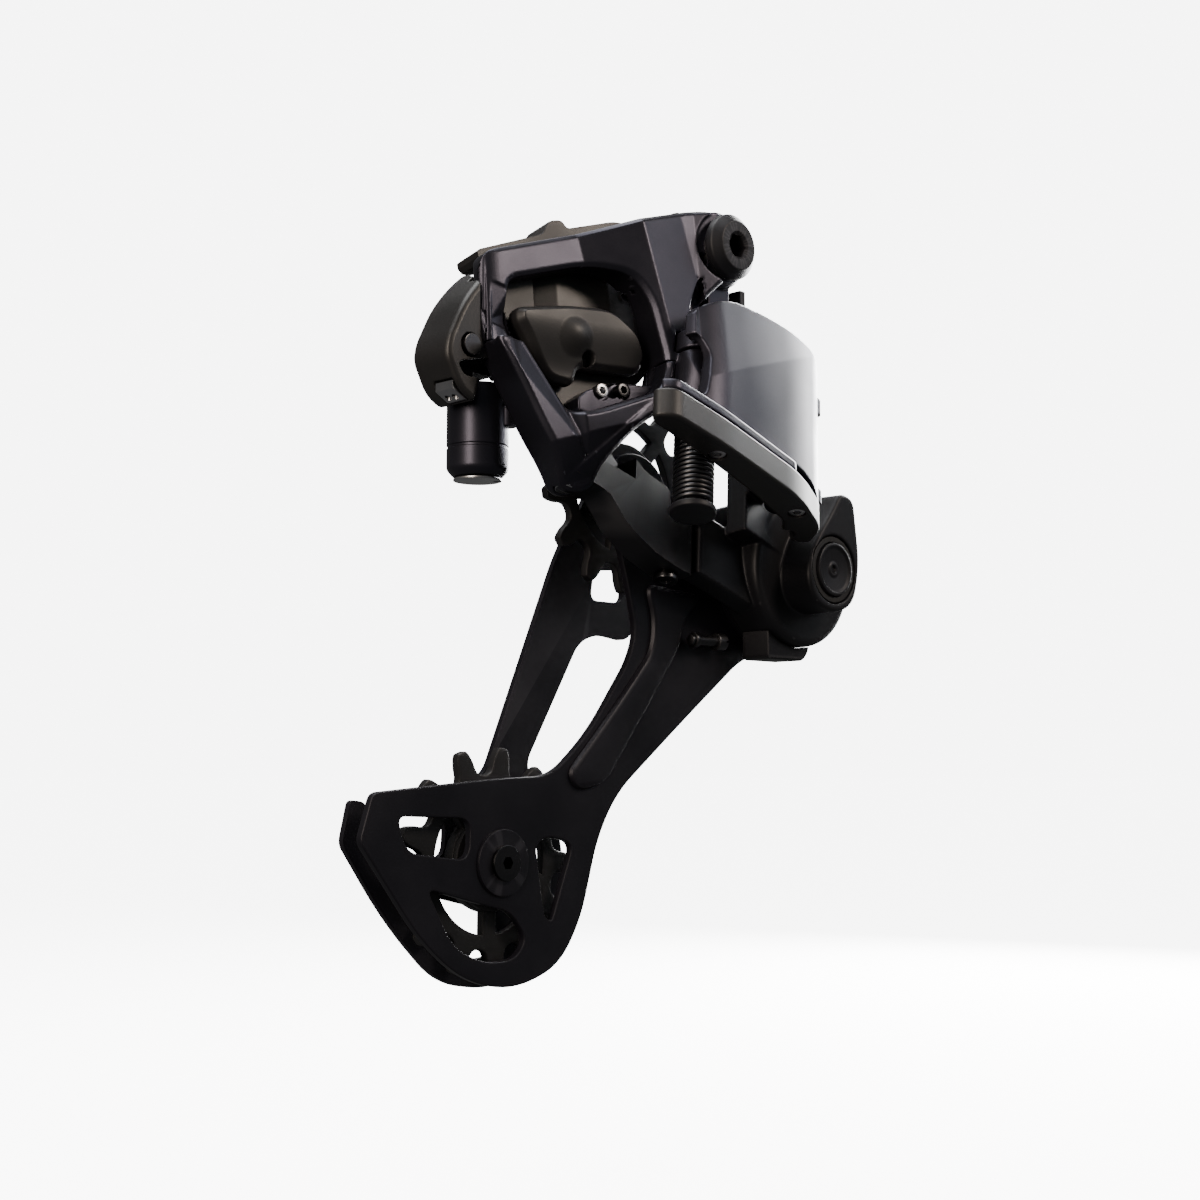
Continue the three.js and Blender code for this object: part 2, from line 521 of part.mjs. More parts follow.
add('inner_link', placed(innerPlan.intersect(innerProfile).subtract(guardRoom)
  .subtract(post(PIN_RADIUS + GAP, -20, 20))
  .subtract(post(PIN_RADIUS + INNER_PLAY, -20, 20, P_PIN)), INNER_FRAME), BLACK_METAL);
add('inner_upper_pin', placed(post(PIN_RADIUS, -1.6, 17.6), INNER_FRAME), STEEL);

// ---- lower knuckle ------------------------------------------------------
const TEARDROP_FACE = -19;
const teardrop = slab(rounded([
  [44, -65, 3], [50.5, -66.5, 3], [53.2, -86, 6], [50, -98, 6], [41, -101.2, 6], [31.5, -98.5, 6],
  [28, -90, 5], [33, -79, 5], [40, -71, 3],
]), TEARDROP_FACE, CHAMBER_OUTBOARD + 1, 5);
const INNER_ARM = [9, 14.2];
const AXLE_RADIUS = 5;
const CAP_RADIUS = 9; // the recess round the cap is a little wider
const SPRING_POCKET = { inner: 8, outer: 19.5, depth: 12 };
const knuckleBody = join(
  disc(CHAMBER_RADIUS, CHAMBER_OUTBOARD, CHAMBER_INBOARD, CAGE_AXIS, 48),
  teardrop,
  placed(join(
    post(5.5, ...P_BOSS, P_PIN),
    block([LINK_LENGTH - 5, 0, P_BOSS[0]], [LINK_LENGTH + 3.5, 17, P_BOSS[0] + 19]),
    block([LINK_LENGTH - 5, 10.2, -6], [LINK_LENGTH + 18, 17, P_BOSS[0] + 9]),
  ), OUTER_FRAME),
  placed(join(
    post(5, ...INNER_ARM, P_PIN),
    block([LINK_LENGTH, -5.2, INNER_ARM[0]], [LINK_LENGTH + 8.6, 1.6, INNER_ARM[1]]),
    block([LINK_LENGTH + 8.6, -5.2, -5], [LINK_LENGTH + 38, 1.6, INNER_ARM[1]]),
  ), INNER_FRAME),
);
const pocketFloor = CHAMBER_INBOARD - SPRING_POCKET.depth;
const pocketTop = CHAMBER_INBOARD + 5;
const springPocket = ring(SPRING_POCKET.inner, SPRING_POCKET.outer, pocketFloor, pocketTop, CAGE_AXIS, 40);
add('lower_knuckle', knuckleBody
  .subtract(springPocket)
  .subtract(disc(AXLE_RADIUS + GAP, TEARDROP_FACE + 3, 20, CAGE_AXIS))
  .subtract(disc(CAP_RADIUS + 1, TEARDROP_FACE - 1, TEARDROP_FACE + 3, CAGE_AXIS))
  .subtract(placed(pinBore(P_PIN), OUTER_FRAME))
  .subtract(placed(pinBore(P_PIN), INNER_FRAME)), BLACK_METAL);
const capDimple = turned([[0, CAP_FACE - 1], [1.6, CAP_FACE - 1], [0, CAP_FACE + 0.8]], CAGE_AXIS, 16);
const CAP_BACK = TEARDROP_FACE + 2.4;
add('knuckle_cap', disc(CAP_RADIUS - 1.2, CAP_FACE, CAP_BACK, CAGE_AXIS).subtract(capDimple), BLACK_METAL);
add('cap_seal', ring(CAP_RADIUS - 0.9, CAP_RADIUS + 0.7, TEARDROP_FACE + 0.4, CAP_BACK, CAGE_AXIS), RUBBER);
add('stop_block', block([27, -5, -114.2], [46, 5, -100])
  .subtract(disc(CHAMBER_RADIUS + GAP, -20, 20, CAGE_AXIS, 48))
  .subtract(teardrop), BLACK_METAL);
add('inner_lower_pin', placed(join(
  post(PIN_RADIUS, -8.6, INNER_ARM[1] + 0.8, P_PIN),
  post(3.4, -10, -8.4, P_PIN),
).subtract(post(1.6, -11, -9.2, P_PIN, 6)), INNER_FRAME), DARK_STEEL);

// Torsion spring and clutch drum round the cage axle.
const CAGE_SPRING = {
  radius: 16.6, wire: 1.1, low: CHAMBER_INBOARD - 11.5, high: CHAMBER_INBOARD - 0.7, turns: 3.2,
};
const alongAxle = new THREE.Matrix4().makeRotationX(-Math.PI / 2).setPosition(CAGE_AXIS[0], 0, CAGE_AXIS[1]);
add('cage_spring', placed(
  coil(CAGE_SPRING.radius, CAGE_SPRING.wire, CAGE_SPRING.low, CAGE_SPRING.high, CAGE_SPRING.turns),
  alongAxle,
), STEEL);
add('clutch_drum', ring(8.4, 14.4, CHAMBER_INBOARD - 11, CHAMBER_INBOARD - 0.4, CAGE_AXIS), DARK_STEEL);

// ---- cage ---------------------------------------------------------------
const plateInboard = OUTER_PLATE_FACE + OUTER_PLATE_THICKNESS;
const outerPlateOutline = rounded([
  [-106.2, -151.8, 2], [-65, -148.4, 10], [-47, -147.8, 6], [-33, -136.4, 20], [-17.5, -116, 10],
  [-14.5, -108, 8], [-18, -94, 8], [-24, -76, 6], [-24, -60, 8], [-15, -57, 8], [-6, -60, 8], [4, -76, 10],
  [30, -66, 12], [54, -68, 16], [62.8, -82, 14], [62, -100, 14], [50, -110.5, 12], [32, -112.5, 8],
  [3, -133.6, 14], [-22, -152.4, 12], [-29.5, -164, 10], [-36, -186, 10], [-44, -197.5, 10],
  [-60, -202.6, 12],
  [-77, -199, 12], [-91, -188, 14], [-110, -163.6, 2],
]);
const windowRear = rounded([[-98.5, -157.6, 3], [-75, -158.6, 4], [-75.5, -169, 4], [-95.5, -166.6, 4]]);
const windowFront = rounded([
  [-52.6, -166, 2], [-48.5, -163.6, 3], [-38.8, -165.6, 4], [-46.8, -186, 2], [-49.4, -184.4, 2],
]);
const windowLow = rounded([
  [-89, -175.5, 3], [-75, -179.4, 8], [-61, -182.6, 4], [-55.6, -190, 4], [-60, -194.8, 4], [-70, -195, 8],
  [-80.5, -190.5, 6],
]);
const windows = join(...[windowRear, windowFront, windowLow].map((shape) => slab(shape, 0, 30)));
const rib = slab(rounded([
  [-42, -147.2, 3], [-22.5, -127.5, 10], [-9.5, -113, 8], [-8.5, -104, 6], [-12, -94, 6],
  [12, -96, 4], [4, -104, 8], [1.5, -112, 8], [-9, -126, 12], [-28, -150, 4], [-38, -152, 4],
]), OUTER_PLATE_FACE - 1.7, OUTER_PLATE_FACE + 1);
const BOLT_BORE = 2.6;
const boltBores = join(
  disc(BOLT_BORE, 0, 30, GUIDE_AXIS, 20),
  disc(BOLT_BORE, 0, 30, TENSION_AXIS, 20),
);
add('cage_outer_plate', join(
  slab(outerPlateOutline, OUTER_PLATE_FACE, plateInboard, 3),
  rib,
  disc(21.5, CHAMBER_INBOARD + GAP, OUTER_PLATE_FACE + 1, CAGE_AXIS, 40),
  disc(8.6, OUTER_PLATE_FACE - 0.8, OUTER_PLATE_FACE + 1, TENSION_AXIS),
).subtract(windows).subtract(boltBores)
  .subtract(disc(AXLE_RADIUS + GAP, 0, 30, CAGE_AXIS)), SATIN_BLACK);
add('cage_axle', join(
  disc(AXLE_RADIUS, TEARDROP_FACE + 3 + GAP, plateInboard + 1, CAGE_AXIS),
  disc(8, plateInboard + GAP, plateInboard + 1.6, CAGE_AXIS),
), DARK_STEEL);

const innerPlateOutline = rounded([
  [-105.5, -153.6, 1.5], [-101, -154.2, 1.5], [-99, -160, 3], [-66, -149.4, 8], [-61.4, -146.4, 4],
  [-35.5, -86, 8], [-24.6, -70, 4], [-22, -60, 7], [-15, -58, 7], [-8, -60, 7], [-5, -72, 6],
  [-2, -100, 8], [-8, -110, 4],
  [-20, -108.4, 4], [-27.4, -111, 5], [-48, -146, 8], [-40, -153, 8], [-32, -170, 10], [-39, -189, 10],
  [-47, -199, 10], [-60, -203, 12], [-77, -200.6, 12], [-94, -184, 12], [-108, -164.4, 2],
]);
const guideWindow = rounded([[-21.5, -90.5, 3], [-10.5, -89.5, 3], [-10, -99, 3], [-23, -99, 3]]);
const innerPlateBack = INNER_PLATE_FACE - INNER_PLATE_THICKNESS;
add('cage_inner_plate', slab(innerPlateOutline, innerPlateBack, INNER_PLATE_FACE, 3)
  .subtract(windows)
  .subtract(slab(guideWindow, 0, 30, 3))
  .subtract(boltBores), SATIN_BLACK);

const STOP_SCREW = { x: [3.5, 17.5], y: 4.2, z: -109.4 };
const stopRod = (radius, x0, x1) => solid(new THREE.CylinderGeometry(radius, radius, x1 - x0, 16)
  .rotateZ(Math.PI / 2)
  .translate((x0 + x1) / 2, STOP_SCREW.y, STOP_SCREW.z));
add('cage_stop_screw', join(
  stopRod(1.5, ...STOP_SCREW.x),
  stopRod(2.5, STOP_SCREW.x[1] - 3.5, STOP_SCREW.x[1]),
  stopRod(2.2, STOP_SCREW.x[0] + 1, STOP_SCREW.x[0] + 2.5),
), DARK_STEEL);

// ---- pulleys ------------------------------------------------------------
const POCKETS = 5;
const HUB_RADIUS = 8.6;
function toothedOutline(centre, phase) {
  const shape = new THREE.Shape();
  const root = PITCH_RADIUS - TOOTH_DROP;
  const tip = PITCH_RADIUS + TOOTH_RISE;
  const step = (Math.PI * 2) / PULLEY_TEETH;
  const flank = [
    [-0.5, root], [-0.27, root + 1], [-0.2, PITCH_RADIUS], [-0.09, tip], [0.09, tip], [0.2, PITCH_RADIUS],
    [0.27, root + 1],
  ];
  for (let tooth = 0; tooth < PULLEY_TEETH; tooth += 1) {
    flank.forEach(([part, radius], i) => {
      const angle = phase + (tooth + part) * step;
      const x = centre[0] + radius * Math.cos(angle);
      const z = centre[1] + radius * Math.sin(angle);
      if (tooth === 0 && i === 0) shape.moveTo(x, z);
      else shape.lineTo(x, z);
    });
  }
  shape.closePath();
  return shape;
}
function addPulley(name, centre, phaseDegrees) {
  const phase = THREE.MathUtils.degToRad(phaseDegrees);
  const half = TOOTH_WIDTH / 2;
  const pocket = ring(12.5, 19, 0, 30, centre, 20);
  const spokes = Array.from({ length: POCKETS }, (_, i) => {
    const turn = phase + (i * Math.PI * 2) / POCKETS;
    const bar = new THREE.BoxGeometry(24, 30, 4.2).translate(12, 15, 0).rotateY(-turn);
    return solid(bar.translate(centre[0], 0, centre[1]));
  });
  const wheel = join(
    slab(toothedOutline(centre, phase), PULLEY_PLANE - half, PULLEY_PLANE + half),
    disc(12.5, PULLEY_PLANE - 2.6, PULLEY_PLANE + 2.6, centre),
  ).subtract(pocket.subtract(join(...spokes)));
  add(`${name}_pulley`, wheel.subtract(disc(HUB_RADIUS, 0, 30, centre)), PLASTIC);
  const bushingEnds = [plateInboard + GAP, innerPlateBack - GAP];
  const ball = { bore: 3.4, half: 2.2 };
  const bearingEnds = [PULLEY_PLANE - ball.half, PULLEY_PLANE + ball.half];
  add(`${name}_bearing`, ring(ball.bore, HUB_RADIUS - GAP, ...bearingEnds, centre), STEEL);
  add(`${name}_bushing`, ring(BOLT_BORE + 0.1, ball.bore - GAP, ...bushingEnds, centre, 20), STEEL);
  add(`${name}_outer_seal`, ring(ball.bore, 7.8, plateInboard + 0.5, PULLEY_PLANE - 2.9, centre), RUBBER);
  add(`${name}_inner_seal`, ring(ball.bore, 7.8, PULLEY_PLANE + 2.9, innerPlateBack - 0.5, centre), RUBBER);
  add(`${name}_bolt`, join(
    disc(4.6, OUTER_PLATE_FACE - 2.2, OUTER_PLATE_FACE - 1.1, centre),
    disc(2.3, OUTER_PLATE_FACE - 2, INNER_PLATE_FACE + 0.8, centre, 20),
  ).subtract(hexSocket(3, OUTER_PLATE_FACE - 3, OUTER_PLATE_FACE + 1, centre)), DARK_STEEL);
}
addPulley('guide', GUIDE_AXIS, 188.4);
addPulley('tension', TENSION_AXIS, 53.5);

export default derailleur;
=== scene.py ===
"""Rear bicycle derailleur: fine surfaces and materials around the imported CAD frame.

Shapes are drawn in millimetres in the row's frame, +X forward, +Y inboard and +Z up, and each is
scaled to metres when it becomes a piece.
"""

import json
from math import cos, degrees, pi, radians, sin

import bmesh
import bpy
from mathutils import Matrix, Vector


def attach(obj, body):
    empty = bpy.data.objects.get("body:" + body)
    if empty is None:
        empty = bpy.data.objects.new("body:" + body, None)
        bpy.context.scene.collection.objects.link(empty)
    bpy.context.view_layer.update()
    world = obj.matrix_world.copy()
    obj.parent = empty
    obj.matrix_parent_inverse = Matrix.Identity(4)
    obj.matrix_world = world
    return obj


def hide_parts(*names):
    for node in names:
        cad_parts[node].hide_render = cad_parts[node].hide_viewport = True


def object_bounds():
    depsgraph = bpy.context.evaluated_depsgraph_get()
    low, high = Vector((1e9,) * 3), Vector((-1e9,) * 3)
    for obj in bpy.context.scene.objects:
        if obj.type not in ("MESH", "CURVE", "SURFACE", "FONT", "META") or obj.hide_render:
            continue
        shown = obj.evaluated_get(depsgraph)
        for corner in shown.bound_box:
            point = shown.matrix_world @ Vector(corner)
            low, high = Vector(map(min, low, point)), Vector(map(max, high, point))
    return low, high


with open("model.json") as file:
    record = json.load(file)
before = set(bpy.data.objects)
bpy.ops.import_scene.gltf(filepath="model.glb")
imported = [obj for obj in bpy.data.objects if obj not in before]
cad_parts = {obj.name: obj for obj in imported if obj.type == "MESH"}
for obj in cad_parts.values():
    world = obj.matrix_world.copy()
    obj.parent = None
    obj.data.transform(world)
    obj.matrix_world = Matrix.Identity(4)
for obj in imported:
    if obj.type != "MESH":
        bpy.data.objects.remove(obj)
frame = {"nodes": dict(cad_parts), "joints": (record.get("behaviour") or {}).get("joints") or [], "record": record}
cad_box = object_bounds()
NODES = frame["nodes"]
JOINTS = {joint["name"]: joint for joint in frame["joints"]}
BODY_OF = {
    node: body
    for body, nodes in frame["record"]["behaviour"]["bodies"].items()
    for node in nodes
}
SLOT_OF = {row["node"]: row["material_slot"] for row in frame["record"]["subparts"]}

MM = 0.001
GAP = 0.3  # clearance between pieces that meet
PIN_BORE = 2.8  # radius of the holes for the link pins

# ---- places that come from the frame -------------------------------------


def joint_place(name):
    return Vector(JOINTS[name]["pos_m"]) / MM


def axis_xz(name):
    place = joint_place(name)
    return (place.x, place.z)


CAGE_AXIS = axis_xz("cage_pivot")
GUIDE_AXIS = axis_xz("guide_pulley_spin")
TENSION_AXIS = axis_xz("tension_pulley_spin")
OUTER_PIVOT = joint_place("outer_link_pivot")
INNER_PIVOT = joint_place("inner_link_pivot")
LOWER_PIVOT = joint_place("lower_knuckle_pivot")
PIN_UP = Vector(JOINTS["outer_link_pivot"]["axis"]).normalized()
LINK_LENGTH = (LOWER_PIVOT - OUTER_PIVOT).length
LINK_ALONG = (LOWER_PIVOT - OUTER_PIVOT).normalized()
LINK_ACROSS = PIN_UP.cross(LINK_ALONG)


def link_frame(origin):
    """x along the link, y inboard and z up its pins."""
    turn = Matrix((LINK_ALONG, LINK_ACROSS, PIN_UP)).transposed().to_4x4()
    return Matrix.Translation(origin) @ turn


OUTER_FRAME = link_frame(OUTER_PIVOT)
INNER_FRAME = link_frame(INNER_PIVOT)
HOOP_YAW = radians(-10)
HOOP_TILT = radians(-6)
HOOP_FRAME = Matrix.Rotation(HOOP_YAW, 4, "Z") @ Matrix.Rotation(HOOP_TILT, 4, "X")

# ---- solids --------------------------------------------------------------


def new_object(mesh, name="shape"):
    obj = bpy.data.objects.new(name, mesh)
    bpy.context.scene.collection.objects.link(obj)
    return obj


def discard(obj):
    data = obj.data
    bpy.data.objects.remove(obj)
    holder = bpy.data.meshes if isinstance(data, bpy.types.Mesh) else bpy.data.curves
    holder.remove(data)


def from_bmesh(bm):
    bmesh.ops.recalc_face_normals(bm, faces=bm.faces)
    mesh = bpy.data.meshes.new("shape")
    bm.to_mesh(mesh)
    bm.free()
    return new_object(mesh)


def moved(obj, matrix):
    obj.data.transform(matrix)
    obj.data.update()
    return obj


def rounded(corners, steps=6, closed=True):
    """Points through [x, y, radius] corners, each rounded by its radius."""
    points = []
    last = len(corners) - 1
    for i, corner in enumerate(corners):
        here = Vector(corner[:2])
        radius = corner[2] if len(corner) > 2 else 0
        if radius == 0 or (not closed and i in (0, last)):
            points.append(here)
            continue
        before = Vector(corners[i - 1][:2]) - here
        after = Vector(corners[(i + 1) % len(corners)][:2]) - here
        reach = min(radius, before.length * 0.49, after.length * 0.49)
        start = here + before.normalized() * reach
        end = here + after.normalized() * reach
        count = min(steps, 2 + int(2 * reach))
        for k in range(count + 1):
            t = k / count
            points.append(start * (1 - t) ** 2 + here * 2 * t * (1 - t) + end * t * t)
    return points


def circle(at, radius, steps=48):
    turns = [2 * pi * k / steps for k in range(steps)]
    return [Vector((at[0] + radius * cos(a), at[1] + radius * sin(a))) for a in turns]


def prism(outlines, depth, edge=0.0, rounds=0):
    """Solid of an outline and its holes, from z 0 to depth, its edges cut back or rounded by edge."""
    curve = bpy.data.curves.new("outline", "CURVE")
    curve.dimensions = "2D"
    curve.fill_mode = "BOTH"
    curve.extrude = depth / 2 - edge
    curve.bevel_depth = edge
    curve.bevel_resolution = rounds
    curve.offset = -edge
    for outline in outlines:
        spline = curve.splines.new("POLY")
        spline.points.add(len(outline) - 1)
        for point, (x, y) in zip(spline.points, outline):
            point.co = (x, y, 0, 1)
        spline.use_cyclic_u = True
    holder = new_object(curve)
    bpy.context.view_layer.update()
    graph = bpy.context.evaluated_depsgraph_get()
    mesh = bpy.data.meshes.new_from_object(holder.evaluated_get(graph))
    discard(holder)
    bm = bmesh.new()
    bm.from_mesh(mesh)
    bpy.data.meshes.remove(mesh)
    bmesh.ops.remove_doubles(bm, verts=bm.verts, dist=0.002)
    bmesh.ops.translate(bm, verts=bm.verts, vec=(0, 0, depth / 2))
    return from_bmesh(bm)


def slab(outlines, y0, y1, edge=0.0, rounds=0):
    """Outlines drawn in x and z, from y0 to y1."""
    stand_up = Matrix.Translation((0, y1, 0)) @ Matrix.Rotation(pi / 2, 4, "X")
    return moved(prism(outlines, y1 - y0, edge, rounds), stand_up)


def layer(outlines, z0, z1, edge=0.0, rounds=0):
    """Outlines drawn in x and y, from z0 to z1."""
    return moved(prism(outlines, z1 - z0, edge, rounds), Matrix.Translation((0, 0, z0)))


def turned(profile, at=(0, 0), steps=64, closed=False):
    """Solid turned about the y axis from [radius, y, rounding] corners."""
    bm = bmesh.new()
    rings = []
    for radius, y in rounded(profile, 4, closed):
        if radius < 1e-6:
            rings.append([bm.verts.new((at[0], y, at[1]))])
            continue
        around = circle(at, radius, steps)
        rings.append([bm.verts.new((x, y, z)) for x, z in around])
    following = rings[1:] + rings[:1] if closed else rings[1:]
    for a, b in zip(rings, following):
        for k in range(steps):
            n = (k + 1) % steps
            corners = (a[k % len(a)], a[n % len(a)], b[n % len(b)], b[k % len(b)])
            distinct = list(dict.fromkeys(corners))
            if len(distinct) > 2:
                bm.faces.new(distinct)
    return from_bmesh(bm)


def disc(radius, y0, y1, at=(0, 0), edge=0.0, steps=64):
    return turned([(0, y0), (radius, y0, edge), (radius, y1, edge), (0, y1)], at, steps)


def ring(inner, outer, y0, y1, at=(0, 0), edge=0.0, steps=64):
    corners = [(inner, y0, edge), (outer, y0, edge), (outer, y1, edge), (inner, y1, edge)]
    return turned(corners, at, steps, closed=True)


STAND = Matrix.Rotation(pi / 2, 4, "X")  # takes the y axis to z
LIE = Matrix.Rotation(-pi / 2, 4, "Z")  # takes the y axis to x


def post(radius, z0, z1, at=(0, 0), edge=0.0, steps=64):
    return moved(disc(radius, z0, z1, (at[0], -at[1]), edge, steps), STAND)


def rod(radius, x0, x1, y, z, edge=0.0, steps=48):
    """Cylinder along x."""
    return moved(disc(radius, x0, x1, (-y, z), edge, steps), LIE)


def hexagon(flats, y0, y1, at=(0, 0)):
    return disc(flats / 2 / cos(pi / 6), y0, y1, at, steps=6)


def block(low, high, edge=0.0):
    corners = [
        (low[0], low[1], 0), (high[0], low[1], 0), (high[0], high[1], 0), (low[0], high[1], 0),
    ]
    return layer([rounded(corners)], low[2], high[2], edge)


def applied(obj):
    """Replaces obj's mesh by its mesh with all its modifiers."""
    bpy.context.view_layer.update()
    graph = bpy.context.evaluated_depsgraph_get()
    mesh = bpy.data.meshes.new_from_object(obj.evaluated_get(graph))
    obj.modifiers.clear()
    old = obj.data
    obj.data = mesh
    bpy.data.meshes.remove(old)
    return obj


def combined(operation, first, others):
    for other in others:
        modifier = first.modifiers.new("combine", "BOOLEAN")
        modifier.operation = operation
        modifier.solver = "MANIFOLD"
        modifier.object = other
        applied(first)
        discard(other)
    return first


def joined(first, *others):
    return combined("UNION", first, others)


def cut(first, *others):
    return combined("DIFFERENCE", first, others)


def common(first, *others):
    return combined("INTERSECT", first, others)


def cast(obj, voxel=0.3, passes=5, keep=0.3, shape=None):
    """Gives obj the soft edges and blended corners of a casting. shape moves its vertices first."""
    remesh = obj.modifiers.new("remesh", "REMESH")
    remesh.mode = "VOXEL"
    remesh.voxel_size = voxel
    applied(obj)
    if shape is not None:
        for vertex in obj.data.vertices:
            vertex.co = shape(vertex.co.copy())
    soften = obj.modifiers.new("soften", "SMOOTH")
    soften.factor = 0.5
    soften.iterations = passes
    thin = obj.modifiers.new("thin", "DECIMATE")
    thin.ratio = keep
    return applied(obj)


def shade(obj, sharp=38):
    """Smooth shading that breaks at edges sharper than an angle in degrees."""
    bm = bmesh.new()
    bm.from_mesh(obj.data)
    for face in bm.faces:
        face.smooth = True
    for edge in bm.edges:
        edge.smooth = len(edge.link_faces) == 2 and degrees(edge.calc_face_angle(0)) < sharp
    bm.to_mesh(obj.data)
    bm.free()
    even = obj.modifiers.new("even", "WEIGHTED_NORMAL")
    even.keep_sharp = True
    return applied(obj)


def faces_joined(obj):
    """Joins faces that lie in one plane."""
    bm = bmesh.new()
    bm.from_mesh(obj.data)
    bmesh.ops.remove_doubles(bm, verts=bm.verts, dist=0.01)
    bmesh.ops.recalc_face_normals(bm, faces=bm.faces)
    bmesh.ops.dissolve_limit(
        bm, angle_limit=radians(1), verts=bm.verts, edges=bm.edges, delimit={"NORMAL"}
    )
    bm.to_mesh(obj.data)
    bm.free()
    return obj


def bevelled(obj, width, segments=2, sharp=30):
    bevel = obj.modifiers.new("bevel", "BEVEL")
    bevel.width = width
    bevel.segments = segments
    bevel.limit_method = "ANGLE"
    bevel.angle_limit = radians(sharp)
    bevel.harden_normals = False
    return applied(obj)


# ---- materials -----------------------------------------------------------


PATCHES_PER_METRE = 45.0
NOISE_MIDDLE = (0.35, 0.65)
EDGE_POINTINESS = (0.54, 0.66)  # from no wear to full wear


def principled(name):
    material = bpy.data.materials.new(name)
    material.use_nodes = True
    nodes = material.node_tree.nodes
    return material, nodes, material.node_tree.links, nodes["Principled BSDF"]


def noise(nodes, links, scale, detail=3.0, stretch=None):
    """Noise in the piece's own coordinates; scale counts features per metre."""
    coordinates = nodes.new("ShaderNodeTexCoord")
    texture = nodes.new("ShaderNodeTexNoise")
    texture.inputs["Scale"].default_value = scale
    texture.inputs["Detail"].default_value = detail
    if stretch is None:
        links.new(coordinates.outputs["Object"], texture.inputs["Vector"])
        return texture
    mapping = nodes.new("ShaderNodeMapping")
    mapping.inputs["Scale"].default_value = stretch
    links.new(coordinates.outputs["Object"], mapping.inputs["Vector"])
    links.new(mapping.outputs["Vector"], texture.inputs["Vector"])
    return texture


def ranged(nodes, links, socket, low, high):
    """Takes the middle of a noise to the range from low to high."""
    spread = nodes.new("ShaderNodeMapRange")
    spread.inputs["From Min"].default_value = NOISE_MIDDLE[0]
    spread.inputs["From Max"].default_value = NOISE_MIDDLE[1]
    spread.inputs["To Min"].default_value = low
    spread.inputs["To Max"].default_value = high
    links.new(socket, spread.inputs["Value"])
    return spread.outputs["Result"]


def mixed(nodes, links, factor, first, second):
    """Mix of two colours, each a tuple or a socket."""
    mix = nodes.new("ShaderNodeMix")
    mix.data_type = "RGBA"
    links.new(factor, mix.inputs["Factor"])
    for name, color in (("A", first), ("B", second)):
        socket = [s for s in mix.inputs if s.name == name and s.type == "RGBA"][0]
        if isinstance(color, tuple):
            socket.default_value = (*color, 1)
        else:
            links.new(color, socket)
    return [s for s in mix.outputs if s.type == "RGBA"][0]


def surface(name, dark, light, metallic, roughness, grain, depth, stretch=None, worn=None,
            specular=0.5):
    """Mottled colour, uneven gloss and fine grain; worn is the colour that edges wear to."""
    material, nodes, links, shader = principled(name)
    shader.inputs["Metallic"].default_value = metallic
    shader.inputs["Specular IOR Level"].default_value = specular
    patches = noise(nodes, links, PATCHES_PER_METRE)
    speckle = noise(nodes, links, grain, 2.0, stretch)
    blend = nodes.new("ShaderNodeMath")
    blend.operation = "MULTIPLY_ADD"
    links.new(speckle.outputs["Fac"], blend.inputs[0])
    blend.inputs[1].default_value = 0.6
    links.new(patches.outputs["Fac"], blend.inputs[2])
    centred = nodes.new("ShaderNodeMath")
    centred.operation = "SUBTRACT"
    centred.use_clamp = True
    links.new(blend.outputs["Value"], centred.inputs[0])
    centred.inputs[1].default_value = 0.3
    color = mixed(nodes, links, centred.outputs["Value"], dark, light)
    if worn is not None:
        geometry = nodes.new("ShaderNodeNewGeometry")
        edges = nodes.new("ShaderNodeMapRange")
        edges.inputs["From Min"].default_value = EDGE_POINTINESS[0]
        edges.inputs["From Max"].default_value = EDGE_POINTINESS[1]
        links.new(geometry.outputs["Pointiness"], edges.inputs["Value"])
        color = mixed(nodes, links, edges.outputs["Result"], color, worn)
    links.new(color, shader.inputs["Base Color"])
    links.new(ranged(nodes, links, patches.outputs["Fac"], *roughness), shader.inputs["Roughness"])
    bump = nodes.new("ShaderNodeBump")
    bump.inputs["Strength"].default_value = 0.35
    bump.inputs["Distance"].default_value = depth
    links.new(speckle.outputs["Fac"], bump.inputs["Height"])
    links.new(bump.outputs["Normal"], shader.inputs["Normal"])
    return material


FINISHES = {
    "gunmetal": surface(
        "gunmetal", (0.021, 0.021, 0.029), (0.036, 0.035, 0.048), 0.8, (0.3, 0.4), 3200, 3e-5,
        worn=(0.09, 0.09, 0.115),
    ),
    "black_metal": surface(
        "black_metal", (0.006, 0.006, 0.008), (0.012, 0.012, 0.015), 0.3, (0.42, 0.54), 4200, 3e-5,
        worn=(0.03, 0.03, 0.034), specular=0.35,
    ),
    "satin_plate": surface(
        "satin_plate", (0.006, 0.006, 0.009), (0.013, 0.012, 0.018), 0.45, (0.34, 0.46), 4800, 2e-5,
        worn=(0.035, 0.034, 0.042),
    ),
    "black_plastic": surface(
        "black_plastic", (0.008, 0.008, 0.0085), (0.015, 0.0145, 0.015), 0.0, (0.36, 0.48), 2600, 4e-5,
        specular=0.4,
    ),
    "pulley_plastic": surface(
        "pulley_plastic", (0.006, 0.006, 0.007), (0.013, 0.013, 0.014), 0.0, (0.4, 0.52), 2600, 5e-5,
        specular=0.4,
    ),
    "steel": surface(
        "steel", (0.34, 0.34, 0.35), (0.46, 0.46, 0.47), 1.0, (0.22, 0.34), 1500, 2e-5,
        stretch=(1, 8, 1),
    ),
    "dark_steel": surface(
        "dark_steel", (0.04, 0.04, 0.042), (0.085, 0.085, 0.09), 1.0, (0.24, 0.36), 1800, 2e-5,
        stretch=(1, 1, 6),
    ),
    "rubber": surface(
        "rubber", (0.004, 0.004, 0.004), (0.009, 0.009, 0.009), 0.0, (0.6, 0.75), 3000, 6e-5,
    ),
}


